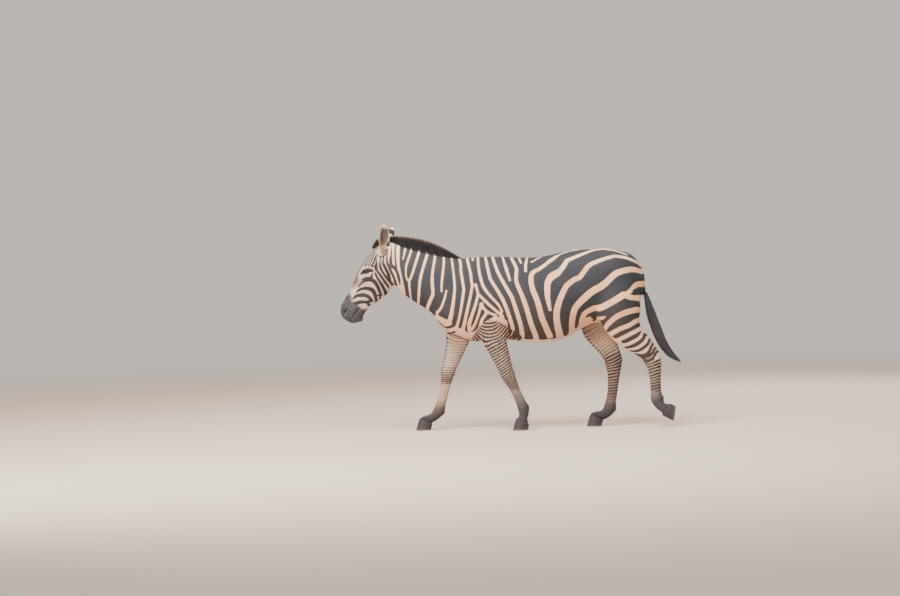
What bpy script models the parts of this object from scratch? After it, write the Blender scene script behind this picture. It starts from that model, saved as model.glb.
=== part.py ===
"""Plains zebra in a slow walk, life size, as a still model in named closed solids.

The animal faces -X and its left side is -Y. Three hooves stand flat on Z = 0 and the
left hind hoof is lifted behind. The flesh is one form: lofts along the spine, the skull
and the limbs, fused, smoothed and swelled where the muscles lie. Thin cuts then part it
into trunk, neck, head and legs. All sizes are in metres.
"""

import math

import bmesh
import bpy
import numpy as np
from mathutils import Matrix, Vector

# Driving sizes
GAP = 0.0003                # air between neighbouring solids
VOXEL = 0.011               # grain of the fused form
BODY_TRIANGLES = 4700       # triangles left on the fused form
STEPS = 4                   # lofted rings from one named station to the next
SMOOTH_ROUNDS = 5           # rounds of smoothing over the whole form
JOIN_ROUNDS = 22            # and where limbs and head join the trunk
BODY_SIDES = 40             # points round the trunk, the neck and the head
LIMB_SIDES = 24             # points round a limb
HOOF_SIDES = 24             # points round a hoof
HAIR_GAP = 0.0004           # air between the flesh and what grows from it
SHARP_ANGLE = math.radians(40)

# Trunk and neck, from the tail forwards. Each station gives the top X and Z, the bottom
# X and Z, the half width, where between bottom and top it is widest, and the roundness
# of the upper and of the lower half (2 is an ellipse, less is pointed, more is square).
TRUNK = {
    "buttock": (1.022, 1.150, 1.004, 0.985, 0.050, 0.50, 2.0, 2.0),
    "tail_head": (0.985, 1.250, 0.955, 0.905, 0.118, 0.48, 2.0, 2.0),
    "rump": (0.925, 1.318, 0.900, 0.860, 0.166, 0.50, 2.1, 2.0),
    "hip": (0.840, 1.350, 0.820, 0.835, 0.198, 0.52, 2.2, 2.0),
    "croup": (0.740, 1.366, 0.730, 0.815, 0.213, 0.52, 2.1, 2.0),
    "croup_top": (0.640, 1.369, 0.640, 0.795, 0.217, 0.52, 2.1, 2.0),
    "loin": (0.540, 1.362, 0.540, 0.752, 0.218, 0.52, 2.1, 2.0),
    "flank": (0.440, 1.348, 0.440, 0.696, 0.226, 0.50, 2.1, 2.1),
    "last_rib": (0.330, 1.325, 0.330, 0.662, 0.238, 0.47, 2.1, 2.1),
    "belly": (0.220, 1.308, 0.220, 0.650, 0.243, 0.45, 2.05, 2.1),
    "mid_rib": (0.110, 1.308, 0.100, 0.664, 0.237, 0.44, 2.0, 2.1),
    "girth": (0.010, 1.314, -0.020, 0.682, 0.221, 0.44, 1.9, 2.0),
    "elbow": (-0.090, 1.320, -0.140, 0.682, 0.205, 0.45, 1.8, 2.0),
    "withers_back": (-0.190, 1.321, -0.270, 0.675, 0.195, 0.45, 1.7, 2.0),
    "withers": (-0.290, 1.316, -0.390, 0.700, 0.185, 0.45, 1.7, 2.0),
    "shoulder": (-0.370, 1.312, -0.480, 0.745, 0.170, 0.42, 1.7, 2.0),
    "breast": (-0.440, 1.322, -0.535, 0.810, 0.150, 0.40, 1.7, 2.0),
    "neck_root": (-0.510, 1.335, -0.572, 0.870, 0.126, 0.40, 1.7, 2.0),
    "neck_low": (-0.590, 1.352, -0.625, 0.922, 0.112, 0.42, 1.7, 2.0),
    "neck_mid": (-0.680, 1.378, -0.695, 0.968, 0.102, 0.44, 1.7, 2.0),
    "neck_high": (-0.770, 1.404, -0.765, 1.015, 0.094, 0.46, 1.7, 2.0),
    "neck_top": (-0.850, 1.430, -0.825, 1.062, 0.084, 0.50, 1.8, 2.0),
    "nape": (-0.910, 1.440, -0.870, 1.120, 0.068, 0.55, 1.9, 2.0),
}

# Head, in its own axes: the way from the poll to the nose, then heights above that line
# for the forehead side and the jaw side, the half width and the shape as for the trunk.
POLL = Vector((-0.937, 0.0, 1.440))
HEAD_PITCH = math.radians(56)
HEAD = {
    "nape": (-0.035, -0.020, -0.130, 0.045, 0.55, 2.0, 2.0),
    "poll": (0.015, 0.018, -0.185, 0.070, 0.62, 2.0, 2.0),
    "ears": (0.080, 0.046, -0.210, 0.085, 0.66, 2.2, 1.9),
    "brow": (0.155, 0.062, -0.225, 0.094, 0.70, 2.3, 1.8),
    "eyes": (0.235, 0.066, -0.232, 0.096, 0.72, 2.4, 1.7),
    "cheek": (0.300, 0.060, -0.230, 0.088, 0.70, 2.4, 1.7),
    "jaw": (0.360, 0.050, -0.214, 0.074, 0.66, 2.3, 1.8),
    "nose": (0.420, 0.040, -0.188, 0.061, 0.62, 2.2, 1.9),
    "bars": (0.480, 0.033, -0.166, 0.054, 0.58, 2.2, 2.0),
    "nostril": (0.540, 0.032, -0.160, 0.056, 0.54, 2.3, 2.1),
    "lips": (0.590, 0.026, -0.160, 0.058, 0.52, 2.3, 2.2),
    "muzzle": (0.630, 0.004, -0.145, 0.052, 0.52, 2.2, 2.2),
    "tip": (0.655, -0.030, -0.110, 0.030, 0.50, 2.0, 2.0),
}

# Limbs: the place along the chain of joints, then the half sizes to the front, to the
# back and to the sides.
FORE_GIRTHS = (
    (0.00, 0.080, 0.080, 0.050), (0.30, 0.104, 0.100, 0.064), (1.00, 0.100, 0.096, 0.066),
    (1.25, 0.086, 0.083, 0.059), (1.50, 0.073, 0.071, 0.051), (1.75, 0.063, 0.060, 0.045),
    (1.92, 0.058, 0.053, 0.045), (2.00, 0.057, 0.051, 0.045), (2.10, 0.053, 0.050, 0.042),
    (2.30, 0.042, 0.045, 0.031), (2.50, 0.038, 0.042, 0.028), (2.75, 0.037, 0.043, 0.029),
    (2.90, 0.040, 0.047, 0.034), (3.00, 0.042, 0.050, 0.036), (3.30, 0.037, 0.042, 0.032),
    (3.60, 0.037, 0.039, 0.033), (3.85, 0.042, 0.043, 0.037), (4.00, 0.047, 0.046, 0.040),
)
HIND_GIRTHS = (
    (0.00, 0.120, 0.120, 0.060), (0.25, 0.165, 0.160, 0.098), (1.00, 0.172, 0.166, 0.112),
    (1.50, 0.150, 0.148, 0.094), (2.00, 0.124, 0.124, 0.076), (2.35, 0.100, 0.100, 0.062),
    (2.70, 0.079, 0.080, 0.051), (2.90, 0.069, 0.075, 0.046), (3.00, 0.065, 0.071, 0.045),
    (3.12, 0.061, 0.063, 0.043), (3.28, 0.051, 0.052, 0.035), (3.50, 0.043, 0.045, 0.030),
    (3.75, 0.041, 0.045, 0.030), (3.92, 0.044, 0.050, 0.035), (4.00, 0.046, 0.054, 0.038),
    (4.30, 0.040, 0.043, 0.033), (4.60, 0.038, 0.039, 0.033), (4.85, 0.042, 0.042, 0.037),
    (5.00, 0.047, 0.046, 0.040),
)

# Joints down each leg, from inside the trunk to the middle of the coronet.
LEGS = {
    "fore_left": ((-0.170, -0.125, 0.930), (-0.128, -0.135, 0.715), (-0.028, -0.130, 0.425),
                  (0.076, -0.115, 0.168), (0.072, -0.112, 0.070)),
    "fore_right": ((-0.340, 0.125, 0.930), (-0.392, 0.135, 0.715), (-0.480, 0.130, 0.440),
                   (-0.563, 0.115, 0.150), (-0.660, 0.112, 0.070)),
    "hind_left": ((0.790, -0.110, 1.120), (0.820, -0.128, 0.900), (0.872, -0.138, 0.735),
                  (1.062, -0.125, 0.518), (1.092, -0.115, 0.213), (1.166, -0.112, 0.130)),
    "hind_right": ((0.760, 0.110, 1.120), (0.706, 0.128, 0.900), (0.672, 0.138, 0.745),
                   (0.784, 0.125, 0.490), (0.745, 0.115, 0.140), (0.648, 0.112, 0.072)),
}

# Places where the form is smoothed most: the middle and the radius of each
JOINS = (
    ((0.800, 0.190, 1.080), 0.200), ((0.800, -0.190, 1.080), 0.200),
    ((-0.340, 0.170, 0.860), 0.200), ((-0.180, -0.170, 0.860), 0.200),
    ((-0.860, 0.000, 1.130), 0.070), ((-0.915, 0.000, 1.430), 0.060),
)

# Muscles, bones and hollows of the body: the middle, the radii, the tilt in degrees about
# the Y axis and the height of each mound, below 0 for a hollow. Both sides have them.
BODY_MOUNDS = {
    "blade": ((-0.300, 0.150, 1.100), (0.070, 0.120, 0.210), 24, 0.010),
    "upper_arm": ((-0.250, 0.190, 0.910), (0.150, 0.100, 0.130), 20, 0.016),
    "shoulder_point": ((-0.480, 0.120, 0.890), (0.070, 0.080, 0.085), 0, 0.012),
    "breast": ((-0.550, 0.055, 0.850), (0.060, 0.050, 0.070), 0, 0.010),
    "girth_dip": ((0.020, 0.160, 0.760), (0.090, 0.120, 0.110), 0, -0.010),
    "neck_hollow": ((-0.430, 0.120, 1.150), (0.050, 0.100, 0.150), 24, -0.008),
    "hip_point": ((0.560, 0.190, 1.250), (0.060, 0.070, 0.060), 0, 0.010),
    "flank_hollow": ((0.490, 0.230, 1.130), (0.080, 0.100, 0.110), 0, -0.010),
    "croup": ((0.740, 0.160, 1.220), (0.170, 0.120, 0.120), 12, 0.016),
    "thigh": ((0.850, 0.210, 1.000), (0.150, 0.110, 0.190), 12, 0.014),
    "ham": ((0.980, 0.080, 1.020), (0.070, 0.070, 0.150), 8, 0.012),
}
CREASES = {
    "breast_groove": ((-0.570, 0.000, 0.830), (0.070, 0.020, 0.090), -0.012),
    "buttock_groove": ((1.020, 0.000, 0.980), (0.080, 0.026, 0.180), -0.016),
}

# Bones and muscles of the head, in the head's own axes: along, above and beside the line
# from the poll to the nose, then radii in that order and the height.
HEAD_MOUNDS = {
    "jaw_muscle": ((0.265, -0.120, 0.080), (0.100, 0.085, 0.060), 0.012),
    "temple": ((0.120, 0.000, 0.080), (0.060, 0.045, 0.050), 0.006),
    "eye_hollow": ((0.185, 0.030, 0.075), (0.024, 0.020, 0.030), -0.007),
    "brow_bone": ((0.235, 0.036, 0.085), (0.045, 0.020, 0.040), 0.010),
    "cheek_bone": ((0.335, -0.022, 0.075), (0.085, 0.014, 0.040), 0.007),
    "cheek_hollow": ((0.400, -0.070, 0.060), (0.060, 0.050, 0.040), -0.006),
    "nostril": ((0.585, -0.012, 0.050), (0.036, 0.026, 0.030), 0.012),
    "upper_lip": ((0.630, -0.050, 0.030), (0.030, 0.040, 0.035), 0.006),
    "chin": ((0.590, -0.160, 0.000), (0.030, 0.030, 0.030), 0.008),
    "mouth": ((0.560, -0.100, 0.060), (0.050, 0.012, 0.030), -0.006),
}

# Hooves, in their own axes: the toe points to -X and the sole lies on Z = 0.
SOLE_LENGTH = 0.118
SOLE_WIDTH = 0.090
CORONET_FRONT = (-0.030, 0.092)     # X and Z of the top of the wall over the toe
CORONET_BACK = (0.070, 0.045)       # X and Z of the top of the wall over the heel
CORONET_WIDTH = 0.082
HEEL_NARROWING = 0.20
HOOVES = {                          # middle of the sole, and degrees that the toe is turned down
    "fore_left": ((0.055, -0.112, 0.0), 0),
    "fore_right": ((-0.680, 0.112, 0.0), 0),
    "hind_left": ((1.226, -0.112, 0.100), 79),
    "hind_right": ((0.628, 0.112, 0.0), 0),
}

# Eyes, in the head's axes
EYE_PLACE = (0.2535, 0.0075, 0.081)
EYE_RADIUS = 0.0225

# Ears: place of the root in the head's axes, the direction of the tip, and the way that
# the cup opens. Each row of the cup gives how far up it is, its radius and its half wrap.
EAR_LENGTH = 0.212
EAR_ROOT = (0.068, -0.024, 0.052)
EAR_TIPS = {"left": (0.09, -0.16, 1.00), "right": (0.36, 0.30, 0.90)}
EAR_OPENINGS = {"left": (-0.30, -1.00, 0.00), "right": (0.45, 1.00, 0.00)}
EAR_ROWS = ((0.00, 0.024, 155), (0.18, 0.030, 135), (0.36, 0.038, 112), (0.54, 0.042, 98),
            (0.70, 0.039, 88), (0.84, 0.031, 78), (0.94, 0.020, 66), (1.00, 0.008, 50))
EAR_WALL = 0.006
EAR_GRID = 8                # rows and columns of the cup

# Mane: the top edge and the root of each station along the crest, and the half thickness
MANE = (
    ((-0.928, 1.490), (-0.912, 1.395), 0.018), ((-0.871, 1.497), (-0.855, 1.395), 0.021),
    ((-0.790, 1.491), (-0.785, 1.370), 0.023), ((-0.700, 1.478), (-0.705, 1.345), 0.024),
    ((-0.603, 1.452), (-0.615, 1.320), 0.024), ((-0.496, 1.402), (-0.520, 1.300), 0.022),
    ((-0.408, 1.345), (-0.440, 1.285), 0.017), ((-0.350, 1.303), (-0.380, 1.275), 0.008),
)
FORELOCK = (
    ((-0.929, 1.488), (-0.913, 1.395), 0.017), ((-0.975, 1.486), (-0.955, 1.395), 0.020),
    ((-1.010, 1.462), (-0.985, 1.375), 0.018), ((-1.034, 1.415), (-1.008, 1.350), 0.009),
)

# Tail: centre line, half size in the plane of the curve and half size sideways
TAIL = (
    (0.960, 1.240, 0.024, 0.026), (1.000, 1.190, 0.023, 0.025), (1.016, 1.120, 0.020, 0.022),
    (1.028, 1.040, 0.017, 0.019), (1.048, 0.955, 0.016, 0.018), (1.066, 0.880, 0.021, 0.021),
    (1.104, 0.760, 0.032, 0.027), (1.151, 0.640, 0.030, 0.025), (1.210, 0.550, 0.023, 0.018),
    (1.290, 0.484, 0.004, 0.004),
)
DOCK_END = 0.955            # height at which the long hair of the tail begins
HAIR_SIDES = 12             # points round the mane, the forelock and the tail

# Plates that part the neck from its neighbours: X and Z of the top and of the bottom of each,
# and its width
NECK_CUTS = {
    "neck_and_trunk": ((-0.372, 1.360), (-0.572, 0.790), 0.70),
    "head_and_neck": ((-0.884, 1.500), (-0.850, 1.040), 0.40),
}
# Plates that part the legs from the trunk: the middle, the half length, and how steeply each
# rises towards the back and outwards
LEG_CUTS = {
    "fore_left": ((-0.120, -0.160, 0.704), 0.160, 0.00, 0.40),
    "fore_right": ((-0.390, 0.160, 0.704), 0.160, 0.00, 0.40),
    "hind_left": ((0.800, -0.160, 0.847), 0.310, 0.30, 0.40),
    "hind_right": ((0.740, 0.160, 0.829), 0.330, 0.30, 0.40),
}
LEG_CUT_WIDTH = 0.290
SHANK_CUTS = {"fore": 2.16, "hind": 3.22}       # place of the cut along the chain of joints
SHANK_CUT_SIZE = 0.240
CORONET_BLOCK = (0.180, 0.240, 0.120)           # width, length and height

# About where the points of each length of flesh have their middle
FLESH = {
    "trunk": (0.250, 0.000, 1.050),
    "neck": (-0.670, 0.000, 1.180),
    "head": (-1.070, 0.000, 1.220),
    "leg_fore_left_upper": (-0.080, -0.130, 0.560),
    "leg_fore_left_lower": (0.060, -0.120, 0.220),
    "leg_fore_right_upper": (-0.430, 0.130, 0.560),
    "leg_fore_right_lower": (-0.560, 0.120, 0.220),
    "leg_hind_left_upper": (0.920, -0.130, 0.680),
    "leg_hind_left_lower": (1.110, -0.120, 0.300),
    "leg_hind_right_upper": (0.740, 0.130, 0.660),
    "leg_hind_right_lower": (0.740, 0.120, 0.250),
}

COLOURS = {
    "coat": (0.42, 0.36, 0.30, 1.0),
    "dark_hair": (0.045, 0.035, 0.032, 1.0),
    "hoof": (0.075, 0.072, 0.078, 1.0),
    "eye": (0.012, 0.008, 0.006, 1.0),
}
ROUGHNESS = {"coat": 0.85, "dark_hair": 0.90, "hoof": 0.55, "eye": 0.08}


def clear_scene():
    """Take away whatever the scene holds."""
    for old in list(bpy.data.objects):
        bpy.data.objects.remove(old)


def new_collection(name):
    """A collection linked to the scene."""
    group = bpy.data.collections.new(name)
    bpy.context.scene.collection.children.link(group)
    return group


def new_object(name, mesh, group):
    """An object for the mesh, in the collection."""
    thing = bpy.data.objects.new(name, mesh)
    group.objects.link(thing)
    return thing


def mesh_from(bm, name):
    """A mesh from the bmesh, with its faces turned outwards."""
    bmesh.ops.recalc_face_normals(bm, faces=bm.faces)
    mesh = bpy.data.meshes.new(name)
    bm.to_mesh(mesh)
    bm.free()
    return mesh


def evaluated(thing, name):
    """A mesh of the object as its modifiers leave it. The object is removed."""
    bpy.context.view_layer.update()
    depsgraph = bpy.context.evaluated_depsgraph_get()
    mesh = bpy.data.meshes.new_from_object(thing.evaluated_get(depsgraph))
    mesh.name = name
    bpy.data.objects.remove(thing)
    return mesh


def eased(rows, steps):
    """The rows of numbers, with steps - 1 smooth rows put in after each."""
    rows = np.array(rows, float)
    last = len(rows) - 1
    out = []
    for i in range(last):
        before, here, there, after = rows[max(i - 1, 0)], rows[i], rows[i + 1], rows[min(i + 2, last)]
        for k in range(steps):
            t = k / steps
            straight = (there - before) * t
            bend = (2 * before - 5 * here + 4 * there - after) * t ** 2
            twist = (3 * here - before - 3 * there + after) * t ** 3
            out.append(here + 0.5 * (straight + bend + twist))
    out.append(rows[last])
    return np.array(out)


def along(rows, place):
    """The row at a place between two rows of the list."""
    i = min(int(place), len(rows) - 2)
    return rows[i] * (1 - (place - i)) + rows[i + 1] * (place - i)


def power_cos(turn, power):
    """Cosine that bulges towards a square as the power rises over 2."""
    return math.copysign(abs(math.cos(turn)) ** (2 / power), math.cos(turn))


def section(top, bottom, half_width, widest, top_power, low_power):
    """A function from the turn about a section, 0 at its top, to the point there."""
    top, bottom = Vector(top), Vector(bottom)
    middle = bottom.lerp(top, widest)

    def point(turn):
        upper = math.cos(turn) > 0
        power = top_power if upper else low_power
        reach = top - middle if upper else middle - bottom
        out = power_cos(turn - math.pi / 2, power)
        return middle + reach * power_cos(turn, power) + Vector((0, -half_width * out, 0))

    return point


def loft(bm, sections, sides):
    """A closed skin: a circle that is extruded from each section to the next."""
    turn = bm.verts.layers.float["turn"]
    verts = bmesh.ops.create_circle(bm, segments=sides, radius=1.0, cap_ends=False)["verts"]
    for vert in verts:
        vert[turn] = math.atan2(vert.co.y, vert.co.x)
        vert.co = sections[0](vert[turn])
    edges = list({edge for vert in verts for edge in vert.link_edges})
    bmesh.ops.contextual_create(bm, geom=edges)
    for place in sections[1:]:
        grown = bmesh.ops.extrude_edge_only(bm, edges=edges)["geom"]
        verts = [item for item in grown if isinstance(item, bmesh.types.BMVert)]
        edges = [item for item in grown if isinstance(item, bmesh.types.BMEdge)]
        for vert in verts:
            vert.co = place(vert[turn])
    bmesh.ops.contextual_create(bm, geom=edges)


def lofting_bmesh():
    """An empty bmesh whose points remember their turn about the loft."""
    bm = bmesh.new()
    bm.verts.layers.float.new("turn")
    return bm


def head_axes():
    """The directions along the head, above it and beside it."""
    forward = Vector((-math.cos(HEAD_PITCH), 0, -math.sin(HEAD_PITCH)))
    upward = Vector((-math.sin(HEAD_PITCH), 0, math.cos(HEAD_PITCH)))
    return forward, upward, Vector((0, 1, 0))


def head_point(s, h, y=0.0):
    """The place that is s along the head, h above its line and y beside it."""
    forward, upward, beside = head_axes()
    return POLL + forward * s + upward * h + beside * y


def trunk_sections():
    """Sections of the trunk and the neck."""
    rows = eased(list(TRUNK.values()), STEPS)
    return [section((r[0], 0, r[1]), (r[2], 0, r[3]), *r[4:]) for r in rows]


def head_sections():
    """Sections of the head."""
    rows = eased(list(HEAD.values()), STEPS)
    return [section(head_point(r[0], r[1]), head_point(r[0], r[2]), *r[3:]) for r in rows]


def limb_frame(joints, place):
    """The centre, the forward way and the sideways way of a limb at a place on its chain."""
    fine = eased(joints, 20)
    last = len(joints) - 1
    centre = along(fine, 20 * place)
    ahead = along(fine, 20 * min(place + 0.06, last))
    behind = along(fine, 20 * max(place - 0.06, 0))
    down = Vector(ahead - behind).normalized()
    forward = down.cross(Vector((0, -1, 0))).normalized()
    if forward.x > 0:
        forward.negate()
    return Vector(centre), forward, forward.cross(down)


def limb_sections(joints, girths):
    """Sections of a limb, each square to the chain of joints."""
    places = []
    last = len(joints) - 1
    for place, front, back, side in eased(girths, STEPS):
        centre, forward, sideways = limb_frame(joints, min(max(place, 0), last))
        places.append(limb_section(centre, forward * front, forward * back, sideways * side))
    centre, forward, sideways = limb_frame(joints, last)
    down = sideways.cross(forward) * 0.03
    places.append(limb_section(centre + down, forward * front, forward * back, sideways * side))
    return places


def limb_section(centre, front, back, side):
    """A function from the turn about a limb, 0 at its front, to the point there."""

    def point(turn):
        reach = front if math.cos(turn) > 0 else back
        return centre + reach * math.cos(turn) + side * math.sin(turn)

    return point


def swell(points, normals, middle, radii, height, axes):
    """Raise a soft mound on the points, or press a hollow where the height is below 0."""
    local = (points - np.array(middle)) @ np.array(axes)
    reach = ((local / np.array(radii)) ** 2).sum(axis=1)
    points += normals * (height * np.exp(-2.0 * reach))[:, None]


def points_and_normals(mesh):
    """The mesh's points and their normals as arrays."""
    points = np.empty(len(mesh.vertices) * 3)
    normals = np.empty(len(mesh.vertices) * 3)
    mesh.vertices.foreach_get("co", points)
    mesh.vertex_normals.foreach_get("vector", normals)
    return points.reshape(-1, 3), normals.reshape(-1, 3)


def move_points(mesh, points):
    """Give the mesh's points new places."""
    mesh.vertices.foreach_set("co", points.ravel())
    mesh.update()


def model_muscles(mesh):
    """Raise the muscles and bones of body and head on the fused form."""
    points, normals = points_and_normals(mesh)
    skull = Matrix(head_axes()).transposed()
    for side in (-1, 1):
        for (x, y, z), radii, tilt, height in BODY_MOUNDS.values():
            turn = Matrix.Rotation(math.radians(tilt), 3, "Y")
            swell(points, normals, (x, y * side, z), radii, height, turn)
        for (s, h, y), radii, height in HEAD_MOUNDS.values():
            swell(points, normals, head_point(s, h, y * side), radii, height, skull)
    for middle, radii, height in CREASES.values():
        swell(points, normals, middle, radii, height, Matrix.Identity(3))
    move_points(mesh, points)


def fused_body(group):
    """The whole of the flesh as one closed form of few triangles."""
    bm = lofting_bmesh()
    loft(bm, trunk_sections(), BODY_SIDES)
    loft(bm, head_sections(), BODY_SIDES)
    for name, joints in LEGS.items():
        girths = FORE_GIRTHS if name.startswith("fore") else HIND_GIRTHS
        loft(bm, limb_sections(joints, girths), LIMB_SIDES)
    rough = new_object("rough_body", mesh_from(bm, "rough_body"), group)
    remesh = rough.modifiers.new("fuse", "REMESH")
    remesh.mode = "VOXEL"
    remesh.voxel_size = VOXEL
    mesh = evaluated(rough, "fused_body")
    blend_joins(mesh)
    model_muscles(mesh)
    fused = new_object("fused_body", mesh, group)
    fewer = fused.modifiers.new("fewer", "DECIMATE")
    fewer.ratio = BODY_TRIANGLES / (2 * len(mesh.polygons))
    return evaluated(fused, "body")


def blend_joins(mesh):
    """Smooth the whole form a little, and much more where the limbs and the head join it."""
    bm = bmesh.new()
    bm.from_mesh(mesh)
    joins = [vert for vert in bm.verts if near_a_join(vert.co)]
    for verts, rounds in ((bm.verts, SMOOTH_ROUNDS), (joins, JOIN_ROUNDS)):
        for _ in range(rounds):
            bmesh.ops.smooth_vert(bm, verts=verts, factor=0.5, use_axis_x=True, use_axis_y=True,
                                  use_axis_z=True)
    bm.to_mesh(mesh)
    bm.free()


def near_a_join(point):
    """Whether the point lies where a limb or the head grows out of the trunk."""
    return any((point - Vector(middle)).length < radius for middle, radius in JOINS)


def box_cutter(name, middle, normal, length_way, sizes, group):
    """A block whose height lies along the normal and whose length along the other way."""
    up = Vector(normal).normalized()
    long = Vector(length_way).normalized()
    across = up.cross(long).normalized()
    turn = Matrix((across, long, up)).transposed().to_4x4()
    width, length, height = sizes
    bm = bmesh.new()
    matrix = Matrix.Translation(middle) @ turn @ Matrix.Diagonal((width, length, height, 1))
    bmesh.ops.create_cube(bm, size=1.0, matrix=matrix)
    return hide_cutter(new_object(name, mesh_from(bm, name), group))


def neck_cutters(group):
    """Thin plates that part the head, the neck and the trunk."""
    made = []
    for name, (top, bottom, width) in NECK_CUTS.items():
        top, bottom = Vector((top[0], 0, top[1])), Vector((bottom[0], 0, bottom[1]))
        way = top - bottom
        normal = way.cross(Vector((0, 1, 0)))
        sizes = (width, way.length, GAP)
        made.append(box_cutter("cut_" + name, (top + bottom) / 2, normal, way, sizes, group))
    return made


def leg_cutters(group):
    """Thin plates that part each leg from the trunk."""
    made = []
    for name, (middle, half_length, back_rise, side_rise) in LEG_CUTS.items():
        normal = Vector((-back_rise, -math.copysign(side_rise, middle[1]), 1))
        sizes = (LEG_CUT_WIDTH, 2 * half_length, GAP)
        way = (1, 0, back_rise)
        made.append(box_cutter("cut_" + name, middle, normal, way, sizes, group))
    return made


def shank_cutters(group):
    """Thin plates that part each leg below the knee or the hock."""
    made = []
    for name, joints in LEGS.items():
        centre, forward, sideways = limb_frame(joints, SHANK_CUTS[name[:4]])
        sizes = (SHANK_CUT_SIZE, SHANK_CUT_SIZE, GAP)
        normal = sideways.cross(forward)
        made.append(box_cutter("cut_shank_" + name, centre, normal, forward, sizes, group))
    return made


def hoof_matrix(name):
    """The place and the turn of a hoof."""
    middle, dip = HOOVES[name]
    return Matrix.Translation(middle) @ Matrix.Rotation(math.radians(-dip), 4, "Y")


def coronet_plane():
    """The middle and the normal of the coronet, in the hoof's axes."""
    front = Vector((CORONET_FRONT[0], 0, CORONET_FRONT[1]))
    back = Vector((CORONET_BACK[0], 0, CORONET_BACK[1]))
    normal = (back - front).cross(Vector((0, 1, 0))).normalized()
    return (front + back) / 2, normal, front - back


def coronet_cutters(group):
    """Blocks that take away the end of each leg from the coronet down."""
    made = []
    middle, normal, way = coronet_plane()
    for name in HOOVES:
        matrix = hoof_matrix(name)
        turn = matrix.to_3x3()
        place = matrix @ (middle + normal * (GAP - CORONET_BLOCK[2] / 2))
        made.append(box_cutter("cut_hoof_" + name, place, turn @ normal, turn @ way,
                               CORONET_BLOCK, group))
    return made


def cut(thing, cutters):
    """The object's mesh less the cutters."""
    for cutter in cutters:
        boolean = thing.modifiers.new(cutter.name, "BOOLEAN")
        boolean.operation = "DIFFERENCE"
        boolean.solver = "EXACT"
        boolean.object = cutter
    return evaluated(thing, thing.name)


def loose_bodies(thing):
    """Objects for the separate closed bodies of an object."""
    bpy.ops.object.select_all(action="DESELECT")
    thing.select_set(True)
    bpy.context.view_layer.objects.active = thing
    bpy.ops.mesh.separate(type="LOOSE")
    return list(bpy.context.selected_objects)


def middle_of(mesh):
    """The middle of the mesh's points."""
    total = Vector()
    for vert in mesh.vertices:
        total += vert.co
    return total / len(mesh.vertices)


def name_bodies(bodies, places, material):
    """Name each body after the nearest of the places."""
    for name, place in places.items():
        nearest = min(bodies, key=lambda body: (middle_of(body.data) - Vector(place)).length)
        bodies.remove(nearest)
        nearest.name = name
        finish(nearest, material)


def part_flesh(body, group, cutters):
    """Part the fused form into trunk, neck, head and the two lengths of each leg."""
    plates = neck_cutters(cutters) + leg_cutters(cutters) + shank_cutters(cutters)
    blocks = coronet_cutters(cutters) + [eye_balls("cut_sockets", EYE_RADIUS + GAP, cutters)]
    whole = new_object("whole_flesh", body, group)
    parted = new_object("parted_flesh", cut(whole, plates + blocks), group)
    name_bodies(loose_bodies(parted), FLESH, "coat")


def finish(thing, material):
    """Give the object its material and smooth shading."""
    mesh = thing.data
    mesh.name = thing.name
    mesh.materials.clear()
    mesh.materials.append(new_material(thing.name, material))
    mesh.shade_smooth()
    mesh.set_sharp_from_angle(angle=SHARP_ANGLE)


def new_material(name, kind):
    """A Principled material in the colour and roughness of its kind."""
    material = bpy.data.materials.new(name)
    material.use_nodes = True
    shader = material.node_tree.nodes["Principled BSDF"]
    shader.inputs["Base Color"].default_value = COLOURS[kind]
    shader.inputs["Roughness"].default_value = ROUGHNESS[kind]
    shader.inputs["Metallic"].default_value = 0.0
    return material


def hide_cutter(cutter):
    """Mark an object as a cutter."""
    cutter.hide_render = True
    cutter.display_type = "WIRE"
    return cutter


def flesh_cutter(body, group):
    """The whole form, grown by the gap, which the hair and the ears are cut with."""
    mesh = body.copy()
    points, normals = points_and_normals(mesh)
    move_points(mesh, points + normals * HAIR_GAP)
    return hide_cutter(new_object("cut_flesh", mesh, group))


def eye_place(side):
    """The middle of the eye on the side, -1 for the left."""
    s, h, y = EYE_PLACE
    return head_point(s, h, y * side)


def add_ball(bm, radius, place):
    """A ball at the place."""
    matrix = Matrix.Translation(place)
    bmesh.ops.create_icosphere(bm, subdivisions=2, radius=radius, matrix=matrix)


def eye_balls(name, radius, group):
    """One cutter for both eye sockets."""
    bm = bmesh.new()
    for side in (-1, 1):
        add_ball(bm, radius, eye_place(side))
    return hide_cutter(new_object(name, mesh_from(bm, name), group))


def make_eyes(group):
    """The two eyeballs."""
    for side, word in ((-1, "left"), (1, "right")):
        bm = bmesh.new()
        add_ball(bm, EYE_RADIUS, eye_place(side))
        finish(new_object("eye_" + word, mesh_from(bm, "eye"), group), "eye")


def hoof_section(level):
    """A function from the turn about a hoof, 0 at its toe, to the point at the level."""
    middle, normal, way = coronet_plane()
    middle = middle - normal * GAP / 2

    def point(turn):
        heel = max(0.0, -math.cos(turn)) ** 2
        width = SOLE_WIDTH / 2 * (1 - HEEL_NARROWING * heel)
        low = Vector((-SOLE_LENGTH / 2 * math.cos(turn), width * math.sin(turn), 0))
        high = middle + way / 2 * math.cos(turn)
        high.y = CORONET_WIDTH / 2 * math.sin(turn)
        return low.lerp(high, level)

    return point


def make_hooves(group):
    """The four hooves."""
    for name in HOOVES:
        bm = lofting_bmesh()
        loft(bm, [hoof_section(level) for level in (0.0, 0.5, 1.0)], HOOF_SIDES)
        bmesh.ops.transform(bm, matrix=hoof_matrix(name), verts=bm.verts)
        finish(new_object("hoof_" + name, mesh_from(bm, "hoof"), group), "hoof")


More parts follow.
